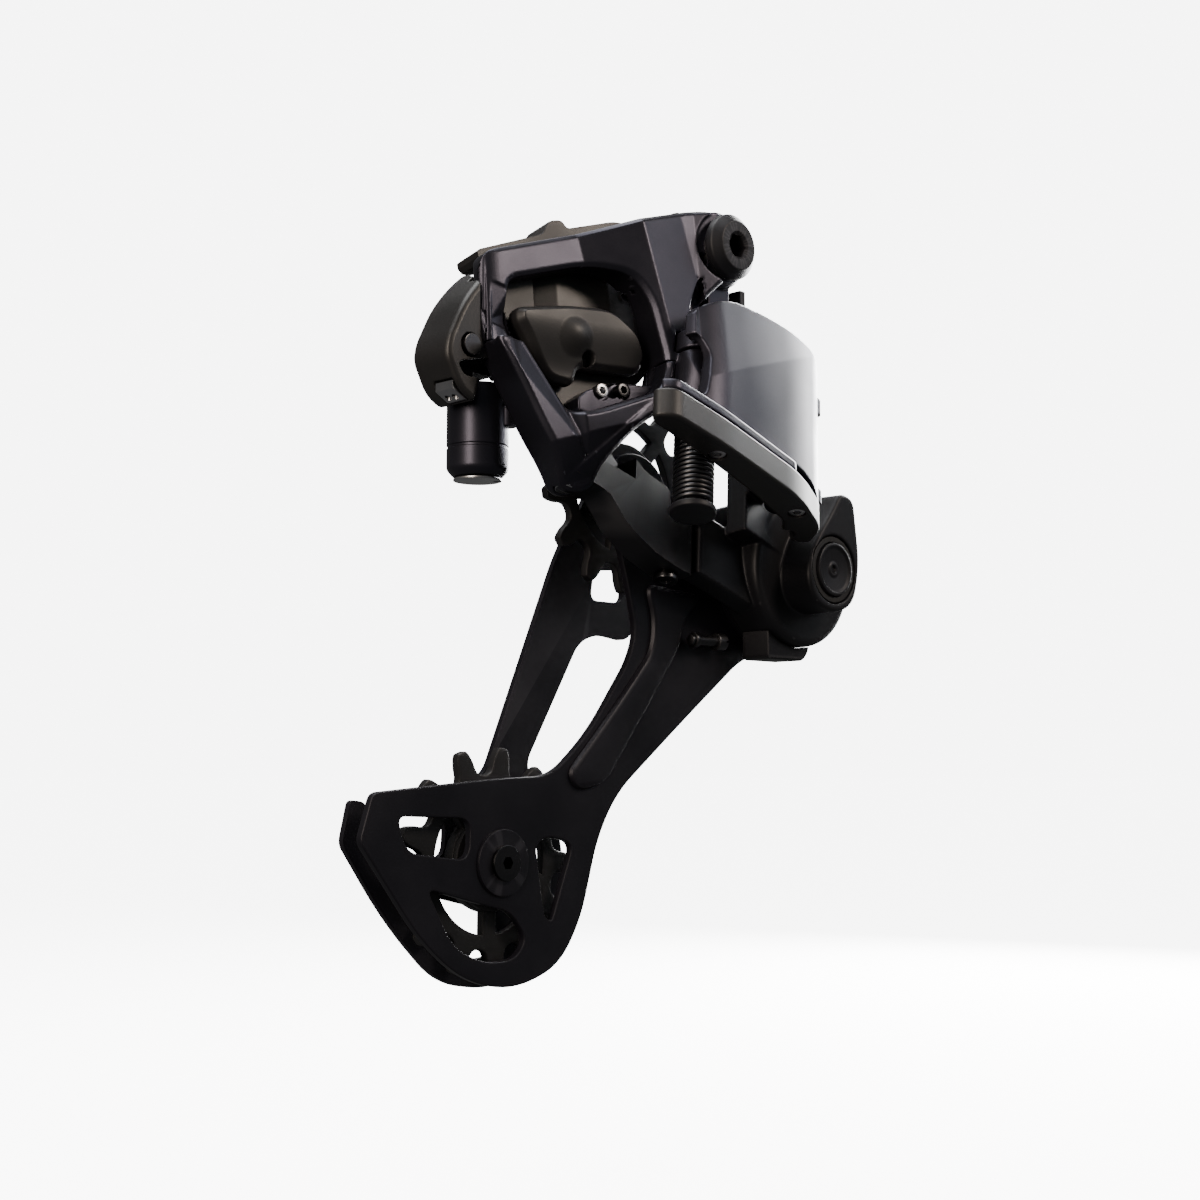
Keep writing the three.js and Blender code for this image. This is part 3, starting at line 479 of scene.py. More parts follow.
def piece(obj, name, node, extra=(), sharp=38, finish=None):
    """Makes obj the visible piece that stands for a CAD node and rides on its body."""
    obj.name = name
    moved(obj, Matrix.Scale(MM, 4))
    shade(obj, sharp)
    slot = finish or SLOT_OF[node]
    obj.data.materials.clear()
    obj.data.materials.append(FINISHES[slot])
    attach(obj, BODY_OF[node])
    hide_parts(node, *extra)
    return obj


# ---- hanger side ---------------------------------------------------------
BOLT_FACE = -18
BOLT_SEAT = -13.2


def hanger_bolt():
    bolt = turned([
        (0, BOLT_FACE), (6.9, BOLT_FACE, 0.3), (9.25, BOLT_FACE + 2.2, 0.4), (9.25, -16.0 + 2.1, 0.2),
        (8.8, BOLT_SEAT - 0.3, 0.1), (8.8, BOLT_SEAT, 0.1), (4.9, BOLT_SEAT, 0.1), (4.9, 7, 0.1),
        (3.9, 8, 0.1), (0, 8),
    ], steps=96)
    return cut(
        bolt,
        hexagon(6.2, BOLT_FACE - 1, BOLT_FACE + 5),
        turned([
            (0, BOLT_FACE - 0.1), (4.2, BOLT_FACE - 0.1), (3.2, BOLT_FACE + 0.7), (0, BOLT_FACE + 0.7),
        ]),
    )


def stopper_plate():
    outline = rounded([
        (0, 11.5, 11), (11.5, 11.5, 11), (13, -6, 3), (13, -19, 1), (7, -19, 2), (0, -11.5, 4),
        (-11.5, -11.5, 11), (-11.5, 11.5, 11),
    ])
    tab = block((11, -9, -19), (13, -0.5, -9), 0.3)
    plate = slab([outline, circle((0, 0), 5.2)], -1.9, 0, 0.25, 1)
    return joined(plate, tab)


# ---- upper knuckle -------------------------------------------------------
HOOP_FRONT = -15
HOOP_BACK = -2
HOOP_SPLIT = -38
FAR = 200
HOOP_OUTLINE = [
    (-76.5, -14, 5), (-38, -1.5, 6), (-8, 8.5, 6), (3, 8.5, 5), (3, -9, 4), (-7, -18, 4),
    (-12, -36, 3), (-15.5, -47, 4), (-33, -57, 6), (-43.5, -68, 3), (-46, -74, 3), (-50, -76, 3),
    (-56, -76, 3), (-59, -69, 3), (-64, -61, 4), (-76.5, -37, 6),
]
HOOP_WINDOW = [
    (-69, -20.5, 4), (-43, -12.5, 5), (-31, -14, 5), (-26, -21, 4), (-22, -38, 3), (-25, -46.5, 4),
    (-46, -54.5, 5), (-53, -56, 4), (-57.5, -51, 4), (-69, -33.5, 4),
]
TUBE_BORE = {
    "radius": 2.8,
    "depth": 7.5,
    "frame": Matrix.Translation((-77.4, -10.5, -37)) @ Matrix.Rotation(radians(12), 4, "Y"),
}
ARM_FOLD = (Vector((-74.5, -35)), Vector((-60.6, -53.5)))  # where the rear arm starts to lean
ARM_SLOPE = 0.75
ARM_LEAN_MOST = 7.0


def bevel_by_window(local):
    """Leans the front of the rear arm inboard towards the window."""
    a, b = ARM_FOLD
    along = (b - a).normalized()
    offset = (Vector((local.x, local.z)) - a).dot(Vector((-along.y, along.x)))
    reach = min(1.0, max(0.0, (-51 - local.x) / 4)) * min(1.0, max(0.0, (-26 - local.z) / 5))
    depth = (HOOP_BACK - local.y) / (HOOP_BACK - HOOP_FRONT)
    local.y += min(max(offset, 0.0) * ARM_SLOPE, ARM_LEAN_MOST) * reach * depth
    return local


def pressed(line_a, line_b, slope, front=-8.0, most=9.0):
    """Moves what lies left of a line in the hoop's plane, seen from a to b, inboard by slope."""
    a, b = Vector(line_a), Vector(line_b)
    along = (b - a).normalized()
    left = Vector((-along.y, along.x))
    to_hoop = HOOP_FRAME.inverted()

    def shape(point):
        local = to_hoop @ point
        offset = (Vector((local.x, local.z)) - a).dot(left)
        depth = (HOOP_BACK - local.y) / (HOOP_BACK - HOOP_FRONT)
        if offset <= 0 or local.y > front:
            return point
        local.y += min(offset * slope, most) * depth
        return HOOP_FRAME @ local

    return shape


def hoop():
    body = slab([rounded(HOOP_OUTLINE), rounded(HOOP_WINDOW)], HOOP_FRONT, HOOP_BACK, 1.2)
    column = layer([rounded([
        (-76.5, HOOP_FRONT, 6.5), (FAR, HOOP_FRONT), (FAR, HOOP_BACK), (-76.5, HOOP_BACK, 4),
    ], 10)], -FAR, FAR)
    bore = moved(post(TUBE_BORE["radius"], -12, TUBE_BORE["depth"]), TUBE_BORE["frame"])
    recess = slab([rounded([
        (-74.2, -21.6, 0.6), (-68.5, -23), (-60, -24.5), (-60, -35), (-74.2, -33, 0.6),
    ])], HOOP_FRONT - 1, HOOP_FRONT + 0.9)
    body = cut(common(body, column), bore, recess)
    for vertex in body.data.vertices:
        vertex.co = bevel_by_window(vertex.co)
    return moved(body, HOOP_FRAME)


def half_space(low, high):
    return moved(block((-FAR, -FAR, low), (FAR, FAR, high)), HOOP_FRAME)


def outer_boss(grow):
    boss = joined(
        post(5.5 + grow, 13 - grow, 26 + grow),
        block((-5 - grow, 0, 13 - grow), (4 + grow, 13, 26 + grow)),
    )
    return moved(boss, OUTER_FRAME)


def knuckle_frame():
    body = joined(
        common(hoop(), half_space(HOOP_SPLIT + GAP / 2, FAR)),
        turned([
            (0, -12.6), (10.0, -12.6, 0.3), (10.0, -11.6, 0.2), (10.8, -11.2, 0.3), (10.8, -2.2, 0.3),
            (0, -2.2),
        ], steps=96),
        outer_boss(0),
        block((-4, -10, -18.5), (5, -2.2, -8)),
    )
    body = cut(
        body,
        disc(7.3, -40, 10),
        disc(10.7, -40, -12.6),
        block((-30, -2.2, -40), (30, 20, 30)),
        moved(post(7.0, 26, 32.3), OUTER_FRAME),
        rod(2.3, -30, 20, -6, -14.6),
        moved(post(PIN_BORE, -30, 60), OUTER_FRAME),
    )
    crease = pressed((-19.3, -36.3), (-25.0, -12.0), 0.32, most=6.0)
    lean = pressed((-25.0, -12.0), (-19.3, -36.3), 0.13, most=2.0)

    def folded(point):
        fade = min(1.0, max(0.0, (-3 - point.x) / 8))
        return crease(point.lerp(lean(point.copy()), fade))

    return cast(body, shape=folded)


def lower_guard():
    slot_room = joined(
        post(4.8, 2.1, 11.1),
        block((0, -8.3, 2.1), (25, 25, 11.1)),
        block((-3, 0, 2.1), (25, 25, 11.1)),
    )
    body = common(hoop(), half_space(-FAR, HOOP_SPLIT - GAP / 2))
    body = cut(
        body,
        moved(post(PIN_BORE, -30, 18), INNER_FRAME),
        moved(slot_room, INNER_FRAME),
        outer_boss(GAP),
        moved(post(7.2, -30, 18), OUTER_FRAME),
    )
    chin = pressed((-33.0, -56.0), (-57.0, -63.5), 0.45, most=5.0)
    return cast(body, shape=chin)


piece(hanger_bolt(), "hanger_bolt_head_and_shank", "hanger_bolt", sharp=28)
piece(stopper_plate(), "stopper_plate_pressing", "stopper_plate")
piece(knuckle_frame(), "upper_knuckle_casting", "knuckle_frame", sharp=60)
piece(lower_guard(), "lower_guard_casting", "lower_guard", sharp=60)

# ---- battery, latch and screws in the window -----------------------------
LIMIT_SCREWS = {"high_limit_screw": (-41.5, -47.6), "low_limit_screw": (-34.5, -46.6)}
SEAT_FACE = -7
COVER_FLAT = (-48, -31)  # where the cover's crown is level
COVER_CROWN = 1.8
COVER_FALL = 0.22  # how much the crown loses for each millimetre past its level part
LATCH_ROOF = 3.0
LATCH_BUMP = Vector((-48.5, -33.5))
LATCH_BUMP_RADIUS = 5.5
LATCH_BUMP_HEIGHT = 1.5


def battery_cover():
    outline = rounded([(-56, -30, 3), (-17, -30, 3), (-17, -10.5, 3), (-56, -10.5, 3)])
    pill = rounded([(-26.6, -17.2, 1.3), (-19.4, -17.2, 1.3), (-19.4, -14.3, 1.3), (-26.6, -14.3, 1.3)])
    slot = rounded([(-26, -16.5, 0.7), (-20, -16.5, 0.7), (-20, -15, 0.7), (-26, -15, 0.7)])
    cover = joined(slab([outline], 0.8, 4.3, 1.2, 3), slab([pill], 0.4, 2.5, 0.3, 1))
    cover = cut(cover, slab([slot], -1, 1.8))

    def crowned(point):
        side = max(COVER_FLAT[0] - point.x, point.x - COVER_FLAT[1], 0.0)
        point.y -= max(0.0, (4.0 - point.y) / 3.2) * (COVER_CROWN - COVER_FALL * side)
        return point

    return moved(cast(cover, 0.3, 3, 0.3, crowned), HOOP_FRAME)


def cover_latch():
    outline = rounded([
        (-66, -27.4, 2), (-50, -24.5, 3), (-36, -23.5, 4), (-28, -29, 3), (-24.5, -36, 3),
        (-27, -40.6, 3), (-37, -41, 3), (-46.6, -41, 2), (-48, -46.4, 3), (-56.4, -45.4, 3),
        (-64, -34, 4), (-66.4, -31, 2),
    ])
    visor = cut(slab([outline], -7, -2, 1.5), disc(2, -20, -3.5, (-44, -38.5)))

    def swollen(point):
        depth = max(0.0, (-2 - point.y) / 5)
        rise = min(1.0, max(0.0, (point.z + 45) / 16))
        near = (Vector((point.x, point.z)) - LATCH_BUMP).length / LATCH_BUMP_RADIUS
        roof = LATCH_ROOF * rise * rise * (3 - 2 * rise)
        bump = LATCH_BUMP_HEIGHT * max(0.0, 1 - near * near) ** 1.5
        point.y -= depth * (roof + bump)
        return point

    return moved(cast(visor, 0.28, 4, 0.3, swollen), HOOP_FRAME)


def screw_seat():
    outline = rounded([
        (-49, -54, 1), (-46, -54.3, 1), (-24.5, -46.2, 1), (-24, -44, 1), (-37, -44.6, 1),
        (-46, -47.8, 1), (-49, -50.4, 1),
    ])
    seat = slab([outline], SEAT_FACE - 2.2, -2, 0.5, 2)
    high, low = LIMIT_SCREWS.values()
    middle = ((high[0] + low[0]) / 2, (high[1] + low[1]) / 2)
    for at, radius in ((high, 2.7), (middle, 2.2), (low, 2.7)):
        seat = cut(seat, disc(radius, SEAT_FACE - 4, SEAT_FACE, at))
    holes = [disc(1.5, -40, 20, at) for at in LIMIT_SCREWS.values()]
    return moved(cut(seat, *holes), HOOP_FRAME)


def limit_screw(at):
    head = turned([
        (0, SEAT_FACE - 3), (1.9, SEAT_FACE - 3, 0.25), (1.9, SEAT_FACE - GAP), (1.2, SEAT_FACE - GAP),
        (1.2, -2.3), (0, -2.3),
    ], at)
    return moved(cut(head, hexagon(2, SEAT_FACE - 4, SEAT_FACE - 1.4, at)), HOOP_FRAME)


piece(battery_cover(), "battery_cover_moulding", "battery_cover")
piece(cover_latch(), "latch_moulding", "cover_latch", sharp=60)
piece(screw_seat(), "screw_seat_moulding", "screw_seat", finish="gunmetal")
for screw, place in LIMIT_SCREWS.items():
    piece(limit_screw(place), screw + "_turned", screw, sharp=28)

# ---- motor ---------------------------------------------------------------
MOTOR_AT = (-68.4, 14)
MOTOR_LOW = -70.2
MOTOR_HIGH = -46


def motor_can():
    profile = [
        (0, MOTOR_LOW), (6.4, MOTOR_LOW, 0.5), (8.2, MOTOR_LOW + 2, 0.8), (8.2, -62.8, 0.2), (7.9, -62.6),
        (7.9, -62.1), (8.2, -61.9, 0.2), (8.2, MOTOR_HIGH, 0.3), (7.2, MOTOR_HIGH), (7.2, -67.6),
        (6.3, -68.9), (0, -68.9),
    ]
    can = moved(turned(profile, (MOTOR_AT[0], -MOTOR_AT[1]), 96), STAND)
    rib_at = (MOTOR_AT[0] + 5.9, MOTOR_AT[1] + 5.9)
    collar_at = (MOTOR_AT[0] + 4.6, MOTOR_AT[1] - 6.4)
    return joined(
        can,
        post(1.7, MOTOR_LOW + 1.5, -50, rib_at, 0.4, 24),
        post(2.6, -57, -52, collar_at, 0.6, 32),
    )


def motor_end_disc():
    plate = post(6.4, MOTOR_LOW - 0.9, MOTOR_LOW - GAP, MOTOR_AT, 0.2)
    screw_at = (MOTOR_AT[0] + 3.6, MOTOR_AT[1] - 3.6)
    return cut(plate, post(0.9, MOTOR_LOW - 2, MOTOR_LOW - 0.6, screw_at, steps=24))


HOUSING = (3, 17.5)
PORT = ((-88, 4.5, -54), (-79.5, 12, -47.5))
BUTTON_AT = (-80.5, -38.5)


def motor_housing():
    outline = rounded([
        (-70, -14.5, 4), (-77, -20.5, 4), (-82.6, -27.3, 5), (-87.6, -37.4, 5), (-88.3, -42, 3),
        (-84, -50.4, 3), (-78.5, -53.4, 2), (-76.5, -45.5, 3), (-58, -45.5, 3), (-58, -33, 3), (-64, -20, 4),
    ])
    case_room = slab([rounded([
        (-74.7, -16, 4), (-13, -5, 4), (-13, -34, 5), (-46, -53, 4), (-60, -51.5, 4), (-67, -45.5, 4),
        (-74.7, -34.5, 4),
    ])], -2, 19.4)
    hoop_room = slab([rounded(HOOP_OUTLINE)], HOOP_FRONT - 2, HOOP_BACK + GAP)
    shelf = slab([rounded([
        (-84.6, -43.4, 1.5), (-76, -41.2), (-60, -41.2), (-60, -46.6), (-82.6, -46.6, 1.5),
    ])], 0, HOUSING[0] + 5.5)
    body = cut(
        slab([outline], *HOUSING, 1.4, 1),
        shelf,
        moved(joined(case_room, hoop_room), HOOP_FRAME),
        post(8.5, -80, -44, MOTOR_AT),
        block((-92, PORT[0][1], -58), PORT[1]),
        disc(3.1, 0, 6, BUTTON_AT),
    )
    return cast(body, 0.3, 2, 0.3)


def charge_port():
    """Plug face with two generic contact holes, turned down to the rear."""
    outline = [(-84.9, -48), (-79.9, -48), (-79.9, -52.4), (-81, -52.4), (-84.9, -50.2)]
    body = slab([rounded(outline)], PORT[0][1] + GAP, PORT[1][1] - GAP, 0.2, 1)
    holes = [post(0.9, -54, -48.8, (-82.3, y), steps=24) for y in (6.9, 9.6)]
    return cut(body, *holes)


piece(motor_can(), "motor_can_drawn", "motor_can", sharp=28, finish="gunmetal")
piece(motor_end_disc(), "motor_end_cap_disc", "motor_end_disc")
piece(motor_housing(), "motor_housing_moulding", "motor_housing", sharp=45)
piece(charge_port(), "charge_port_face", "charge_port", finish="steel")


# ---- outer link ----------------------------------------------------------
P_PIN = (LINK_LENGTH, 0)
SKID_TOP = -0.2
SKID_BOTTOM = -8.5
SKID_SCREWS = {"skid_screw_rear": (-3, -9.6), "skid_screw_front": (36, -9.4)}
P_BOSS = (5.5, 29)
LINK_LEAN = 0.14
LINK_LEAN_REACH = 20
SPRING_RADIUS = 4.9
SPRING_WIRE = 0.62
SPRING_ENDS = (-19.5, 2.7)
SPRING_TURNS = 15.5


def outer_link():
    band = layer([rounded([
        (-10, -3, 0.5), (-9.4, -7, 4), (-3, -11, 5), (15, -12.5, 8), (32, -12.5, 8), (46, -10.5, 5),
        (53.6, -5, 4), (53.4, 1, 0.5), (51.4, 1, 0.5), (51.4, -3.6, 4), (45, -7.4, 4), (32, -9, 6),
        (15, -9, 6), (-1, -8, 4), (-7, -5, 1), (-7, -3, 0.5),
    ], 10)], -10, 60)
    profile = slab([rounded([
        (-12, 30, 2), (-7.5, 37, 4), (3, 43.6, 5), (25, 47, 8), (44, 47.4, 5), (53, 38, 8), (54, 20, 8),
        (55, 0.2, 2), (47, 0.2, 4), (38, 4, 8), (20, 3, 8), (-2, 2, 4), (-12, 2, 1), (-12, 6.5, 2),
        (-6.8, 8.4, 2), (-5.2, 22, 2), (-7.4, 27.2, 1.5), (-12, 27, 1),
    ], 8)], -20, 20)
    foot = layer([rounded([
        (-27.5, -8.6, 1.5), (-25, -12.4, 4), (-6, -14, 6), (15, -14, 8), (30, -14, 8), (30, -9, 2),
        (15, -8.6, 4), (-5, -8, 3),
    ], 8)], 0.1, 3.2, 0.4)
    lugs = [
        post(6.2, 3, 12.7, edge=0.3), block((-4, -9, 3), (5, 0, 12.7)),
        post(6.2, 26.3, 32, edge=0.3), block((-5, -9.5, 26.3), (5, 0, 32)),
        post(6.2, 0.5, 5.2, P_PIN, 0.3), block((40, -9, 0.5), (50, 0, 5.2)),
        post(6.2, 29.3, 35, P_PIN, 0.3), block((40, -9, 29.3), (50, 0, 35)),
    ]
    body = joined(common(band, profile), foot, *lugs)
    body = cut(body, post(PIN_BORE, -40, 70), post(PIN_BORE, -40, 70, P_PIN))
    crease_start = Vector((-4.8, 15))
    along = (Vector((33, 39)) - crease_start).normalized()

    def leaned(point):
        offset = (Vector((point.x, point.z)) - crease_start).dot(Vector((-along.y, along.x)))
        if offset > 0 and point.y < -6.3:
            lean = LINK_LEAN * min(offset, LINK_LEAN_REACH)
            point.y += lean * min(1.0, (-6.3 - point.y) / 2)
        return point

    return moved(cast(body, 0.3, 5, 0.3, leaned), OUTER_FRAME)


def skid_cover():
    outline = rounded([
        (-29, -8, 2), (-26, -13, 4), (-6, -14.6, 6), (30, -15, 8), (48, -10, 6), (53.4, -3, 3),
        (52, 0, 2), (44, 1, 2), (39, -3.4, 3), (20, -5.6, 6), (-6, -6.4, 4), (-26, -5.5, 3),
    ], 10)
    cover = layer([outline], SKID_BOTTOM, SKID_TOP, 0.9, 3)
    cuts = [post(6.6, -1, 20, P_PIN), post(PIN_BORE, -20, 20, P_PIN)]
    for at in SKID_SCREWS.values():
        cuts.append(post(2.6, SKID_BOTTOM - 1, SKID_BOTTOM + 2.2, at))
        cuts.append(post(1.8, -20, 20, at))
    return moved(cut(cover, *cuts), OUTER_FRAME)


def skid_screw(at):
    head = joined(
        post(2.3, SKID_BOTTOM + 0.4, SKID_BOTTOM + 1.9, at, 0.3),
        post(1.5, SKID_BOTTOM + 1, SKID_TOP - GAP, at),
    )
    socket = moved(hexagon(2.2, SKID_BOTTOM - 1, SKID_BOTTOM + 1.4, (at[0], -at[1])), STAND)
    return moved(cut(head, socket), OUTER_FRAME)


def coil(radius, wire, z0, z1, turns, sides=10, steps=28):
    """Close-wound spring of round wire along z."""
    bm = bmesh.new()
    count = int(turns * steps)
    rings = []
    for i in range(count + 1):
        angle = 2 * pi * i / steps
        height = z0 + wire + (z1 - z0 - 2 * wire) * i / count
        centre = Vector((radius * cos(angle), radius * sin(angle), height))
        out = Vector((cos(angle), sin(angle), 0))
        around = [2 * pi * k / sides for k in range(sides)]
        rings.append([
            bm.verts.new(centre + wire * (out * cos(a) + Vector((0, 0, sin(a))))) for a in around
        ])
    for a, b in zip(rings, rings[1:]):
        for k in range(sides):
            n = (k + 1) % sides
            bm.faces.new((a[k], a[n], b[n], b[k]))
    bm.faces.new(rings[0])
    bm.faces.new(rings[-1])
    return from_bmesh(bm)


def outer_upper_pin():
    pin = joined(post(2.5, -20.5, 33, edge=0.3), post(6.2, -21.7, -19.8, edge=0.5))
    return moved(pin, OUTER_FRAME)


piece(outer_link(), "outer_link_forging", "outer_link", sharp=60)
piece(skid_cover(), "skid_cover_moulding", "skid_cover", sharp=28)
for screw, place in SKID_SCREWS.items():
    piece(skid_screw(place), screw + "_turned", screw, sharp=28)
spring = moved(coil(SPRING_RADIUS, SPRING_WIRE, *SPRING_ENDS, SPRING_TURNS), OUTER_FRAME)
piece(spring, "link_spring_coil", "link_spring", sharp=60)
piece(outer_upper_pin(), "outer_upper_pin_turned", "outer_upper_pin", finish="black_metal")

# ---- lower knuckle -------------------------------------------------------
TEARDROP_FACE = -19
CAP_FACE = -19.5
CHAMBER = (-8, 6)
TEARDROP = rounded([
    (44, -65, 3), (50.5, -66.5, 3), (53.2, -86, 6), (50, -98, 6), (41, -101.2, 6), (31.5, -98.5, 6),
    (28, -90, 5), (33, -79, 5), (40, -71, 3),
], 10)


def lower_knuckle():
    body = joined(
        turned([(0, -8), (22, -8, 2.2), (22, 6, 0.3), (0, 6)], CAGE_AXIS, 128),
        slab([TEARDROP], TEARDROP_FACE, -7, 0.7),
        moved(joined(
            post(5.5, *P_BOSS, P_PIN),
            block((LINK_LENGTH - 5, 0, 5.5), (LINK_LENGTH + 3.5, 17, 17.5)),
            block((LINK_LENGTH - 5, 10.2, -6), (LINK_LENGTH + 18, 17, 14.5)),
        ), OUTER_FRAME),
        moved(joined(
            post(5, 9, 14.2, P_PIN),
            block((LINK_LENGTH, -5.2, 9), (LINK_LENGTH + 8.6, 1.6, 14.2)),
            block((LINK_LENGTH + 8.6, -5.2, -5), (LINK_LENGTH + 38, 1.6, 14.2)),
        ), INNER_FRAME),
    )
    body = cut(
        body,
        ring(8, 19.5, -6, 11, CAGE_AXIS),
        disc(5.3, TEARDROP_FACE + 3, 20, CAGE_AXIS),
        disc(10, TEARDROP_FACE - 1, TEARDROP_FACE + 3, CAGE_AXIS, steps=96),
        moved(post(PIN_BORE, -40, 70, P_PIN), OUTER_FRAME),
        moved(post(PIN_BORE, -40, 70, P_PIN), INNER_FRAME),
    )
    return cast(body, 0.3, 14, 0.25)


def knuckle_cap():
    back = TEARDROP_FACE + 2.4
    return turned([
        (0, CAP_FACE + 1.4), (0.9, CAP_FACE + 1.4), (1.3, CAP_FACE + 0.7, 0.2), (1.9, CAP_FACE + 0.7, 0.2),
        (2.4, CAP_FACE + 1.0, 0.3), (6.3, CAP_FACE + 0.5, 0.6), (6.9, CAP_FACE, 0.2),
        (7.8, CAP_FACE + 0.1, 0.3), (7.8, back), (0, back),
    ], CAGE_AXIS, 96)


def stop_block():
    outline = rounded([(27, -114.2, 1.6), (43, -114.2, 1.6), (46, -111, 2), (46, -100), (27, -100)])
    return cut(
        slab([outline], -5, 5, 0.5, 1),
        disc(22.3, -20, 20, CAGE_AXIS, steps=128),
    )


piece(lower_knuckle(), "lower_knuckle_casting", "lower_knuckle", sharp=60)
piece(knuckle_cap(), "knuckle_cap_turned", "knuckle_cap", sharp=28)
piece(stop_block(), "stop_block_forging", "stop_block")

# ---- cage ----------------------------------------------------------------
OUTER_PLATE = (8, 10.2)
INNER_PLATE = (17.8, 19.6)
OUTER_PLATE_OUTLINE = [
    (-106.2, -151.8, 2), (-65, -148.4, 10), (-47, -147.8, 6), (-33, -136.4, 20), (-17.5, -116, 10),
    (-14.5, -108, 8), (-18, -94, 8), (-24, -76, 6), (-24, -60, 8), (-15, -57, 8), (-6, -60, 8),
    (4, -76, 10), (30, -66, 12), (54, -68, 16), (62.8, -82, 14), (62, -100, 14), (50, -110.5, 12),
    (32, -112.5, 8), (3, -133.6, 14), (-22, -152.4, 12), (-29.5, -164, 10), (-36, -186, 10),
    (-44, -197.5, 10), (-60, -202.6, 12), (-77, -199, 12), (-91, -188, 14), (-110, -163.6, 2),
]
INNER_PLATE_OUTLINE = [
    (-105.5, -153.6, 1.5), (-101, -154.2, 1.5), (-99, -160, 3), (-66, -149.4, 8), (-61.4, -146.4, 4),
    (-35.5, -86, 8), (-24.6, -70, 4), (-22, -60, 7), (-15, -58, 7), (-8, -60, 7), (-5, -72, 6),
    (-2, -100, 8), (-8, -110, 4), (-20, -108.4, 4), (-27.4, -111, 5), (-48, -146, 8), (-40, -153, 8),
    (-32, -170, 10), (-39, -189, 10), (-47, -199, 10), (-60, -203, 12), (-77, -200.6, 12),
    (-94, -184, 12), (-108, -164.4, 2),
]
CAGE_WINDOWS = [
    [(-98.5, -157.6, 3), (-75, -158.6, 4), (-75.5, -169, 4), (-95.5, -166.6, 4)],
    [(-52.6, -166, 2), (-48.5, -163.6, 3), (-38.8, -165.6, 4), (-46.8, -186, 2), (-49.4, -184.4, 2)],
    [
        (-89, -175.5, 3), (-75, -179.4, 8), (-61, -182.6, 4), (-55.6, -190, 4), (-60, -194.8, 4),
        (-70, -195, 8), (-80.5, -190.5, 6),
    ],
]
GUIDE_WINDOW = [(-21.5, -90.5, 3), (-10.5, -89.5, 3), (-10, -99, 3), (-23, -99, 3)]
RIB = [
    (-42, -147.2, 3), (-22.5, -127.5, 10), (-9.5, -113, 8), (-8.5, -104, 6), (-12, -94, 6),
    (12, -96, 4), (4, -104, 8), (1.5, -112, 8), (-9, -126, 12), (-28, -150, 4), (-38, -152, 4),
]
BOLT_BORE = 2.6
THREAD_START = 7
THREAD_STEP = 0.7
THREAD_GROOVES = 9


def cage_outer_plate():
    holes = [rounded(window, 8) for window in CAGE_WINDOWS]
    plate = slab([rounded(OUTER_PLATE_OUTLINE, 10)] + holes, *OUTER_PLATE, 0.45, 2)
    plate = joined(
        plate,
        slab([rounded(RIB, 10)], OUTER_PLATE[0] - 1.7, OUTER_PLATE[0] + 1, 1.3, 1),
        disc(21.5, CHAMBER[1] + GAP, OUTER_PLATE[0] + 1, CAGE_AXIS, 0.3, 128),
        disc(8.6, OUTER_PLATE[0] - 0.8, OUTER_PLATE[0] + 1, TENSION_AXIS, 0.35),
    )
    return cut(
        plate,
        disc(BOLT_BORE, 0, 30, GUIDE_AXIS),
        disc(BOLT_BORE, 0, 30, TENSION_AXIS),
        disc(5.3, 0, 30, CAGE_AXIS),
    )


def cage_inner_plate():
    plate = slab([rounded(INNER_PLATE_OUTLINE, 10)], *INNER_PLATE)
    for window in CAGE_WINDOWS + [GUIDE_WINDOW]:
        plate = cut(plate, slab([rounded(window, 8)], INNER_PLATE[0] - 1, INNER_PLATE[1] + 1))
    plate = cut(plate, disc(BOLT_BORE, 0, 30, GUIDE_AXIS), disc(BOLT_BORE, 0, 30, TENSION_AXIS))
    return bevelled(faces_joined(plate), 0.4)


def pulley_bolt(at):
    face = OUTER_PLATE[0] - 2.2
    bolt = turned([
        (0, face), (4.6, face, 0.35), (4.6, face + 1.1, 0.1), (2.3, face + 1.1), (2.3, 20.4, 0.3),
        (0, 20.4),
    ], at)
    return cut(bolt, hexagon(3, face - 1, face + 3.2, at))


def cage_stop_screw():
    y, z = 4.2, -109.4
    screw = joined(
        rod(1.5, 3.5, 17.5, y, z, 0.2),
        rod(2.5, 14, 17.5, y, z, 0.3),
        rod(2.2, 4.5, 6, y, z, 0.2),
    )
    flipped = LIE @ Matrix.Scale(-1, 4, (0, 1, 0))
    for turn in range(THREAD_GROOVES):
        x = THREAD_START + THREAD_STEP * turn
        screw = cut(screw, moved(ring(1.25, 3, -x - 0.25, -x, (-y, z), steps=32), flipped))
    return cut(
        screw,
        block((16.4, y - 3, z - 0.35), (18, y + 3, z + 0.35)),
        block((16.4, y - 0.35, z - 3), (18, y + 0.35, z + 3)),
    )


piece(cage_outer_plate(), "cage_outer_plate_forging", "cage_outer_plate", sharp=28)
piece(cage_inner_plate(), "cage_inner_plate_stamping", "cage_inner_plate", sharp=28)
piece(pulley_bolt(GUIDE_AXIS), "guide_bolt_turned", "guide_bolt", sharp=28)
piece(pulley_bolt(TENSION_AXIS), "tension_bolt_turned", "tension_bolt", sharp=28)
piece(cage_stop_screw(), "cage_stop_screw_turned", "cage_stop_screw", sharp=28)

# ---- pulleys -------------------------------------------------------------
TEETH = 13
CHAIN_PITCH = 12.7
PITCH_RADIUS = CHAIN_PITCH / (2 * sin(pi / TEETH))
PULLEY_PLANE = 14
POCKETS = 5
POCKET_RADII = (12.9, 18.6)
HALF_SPOKE = 2.3


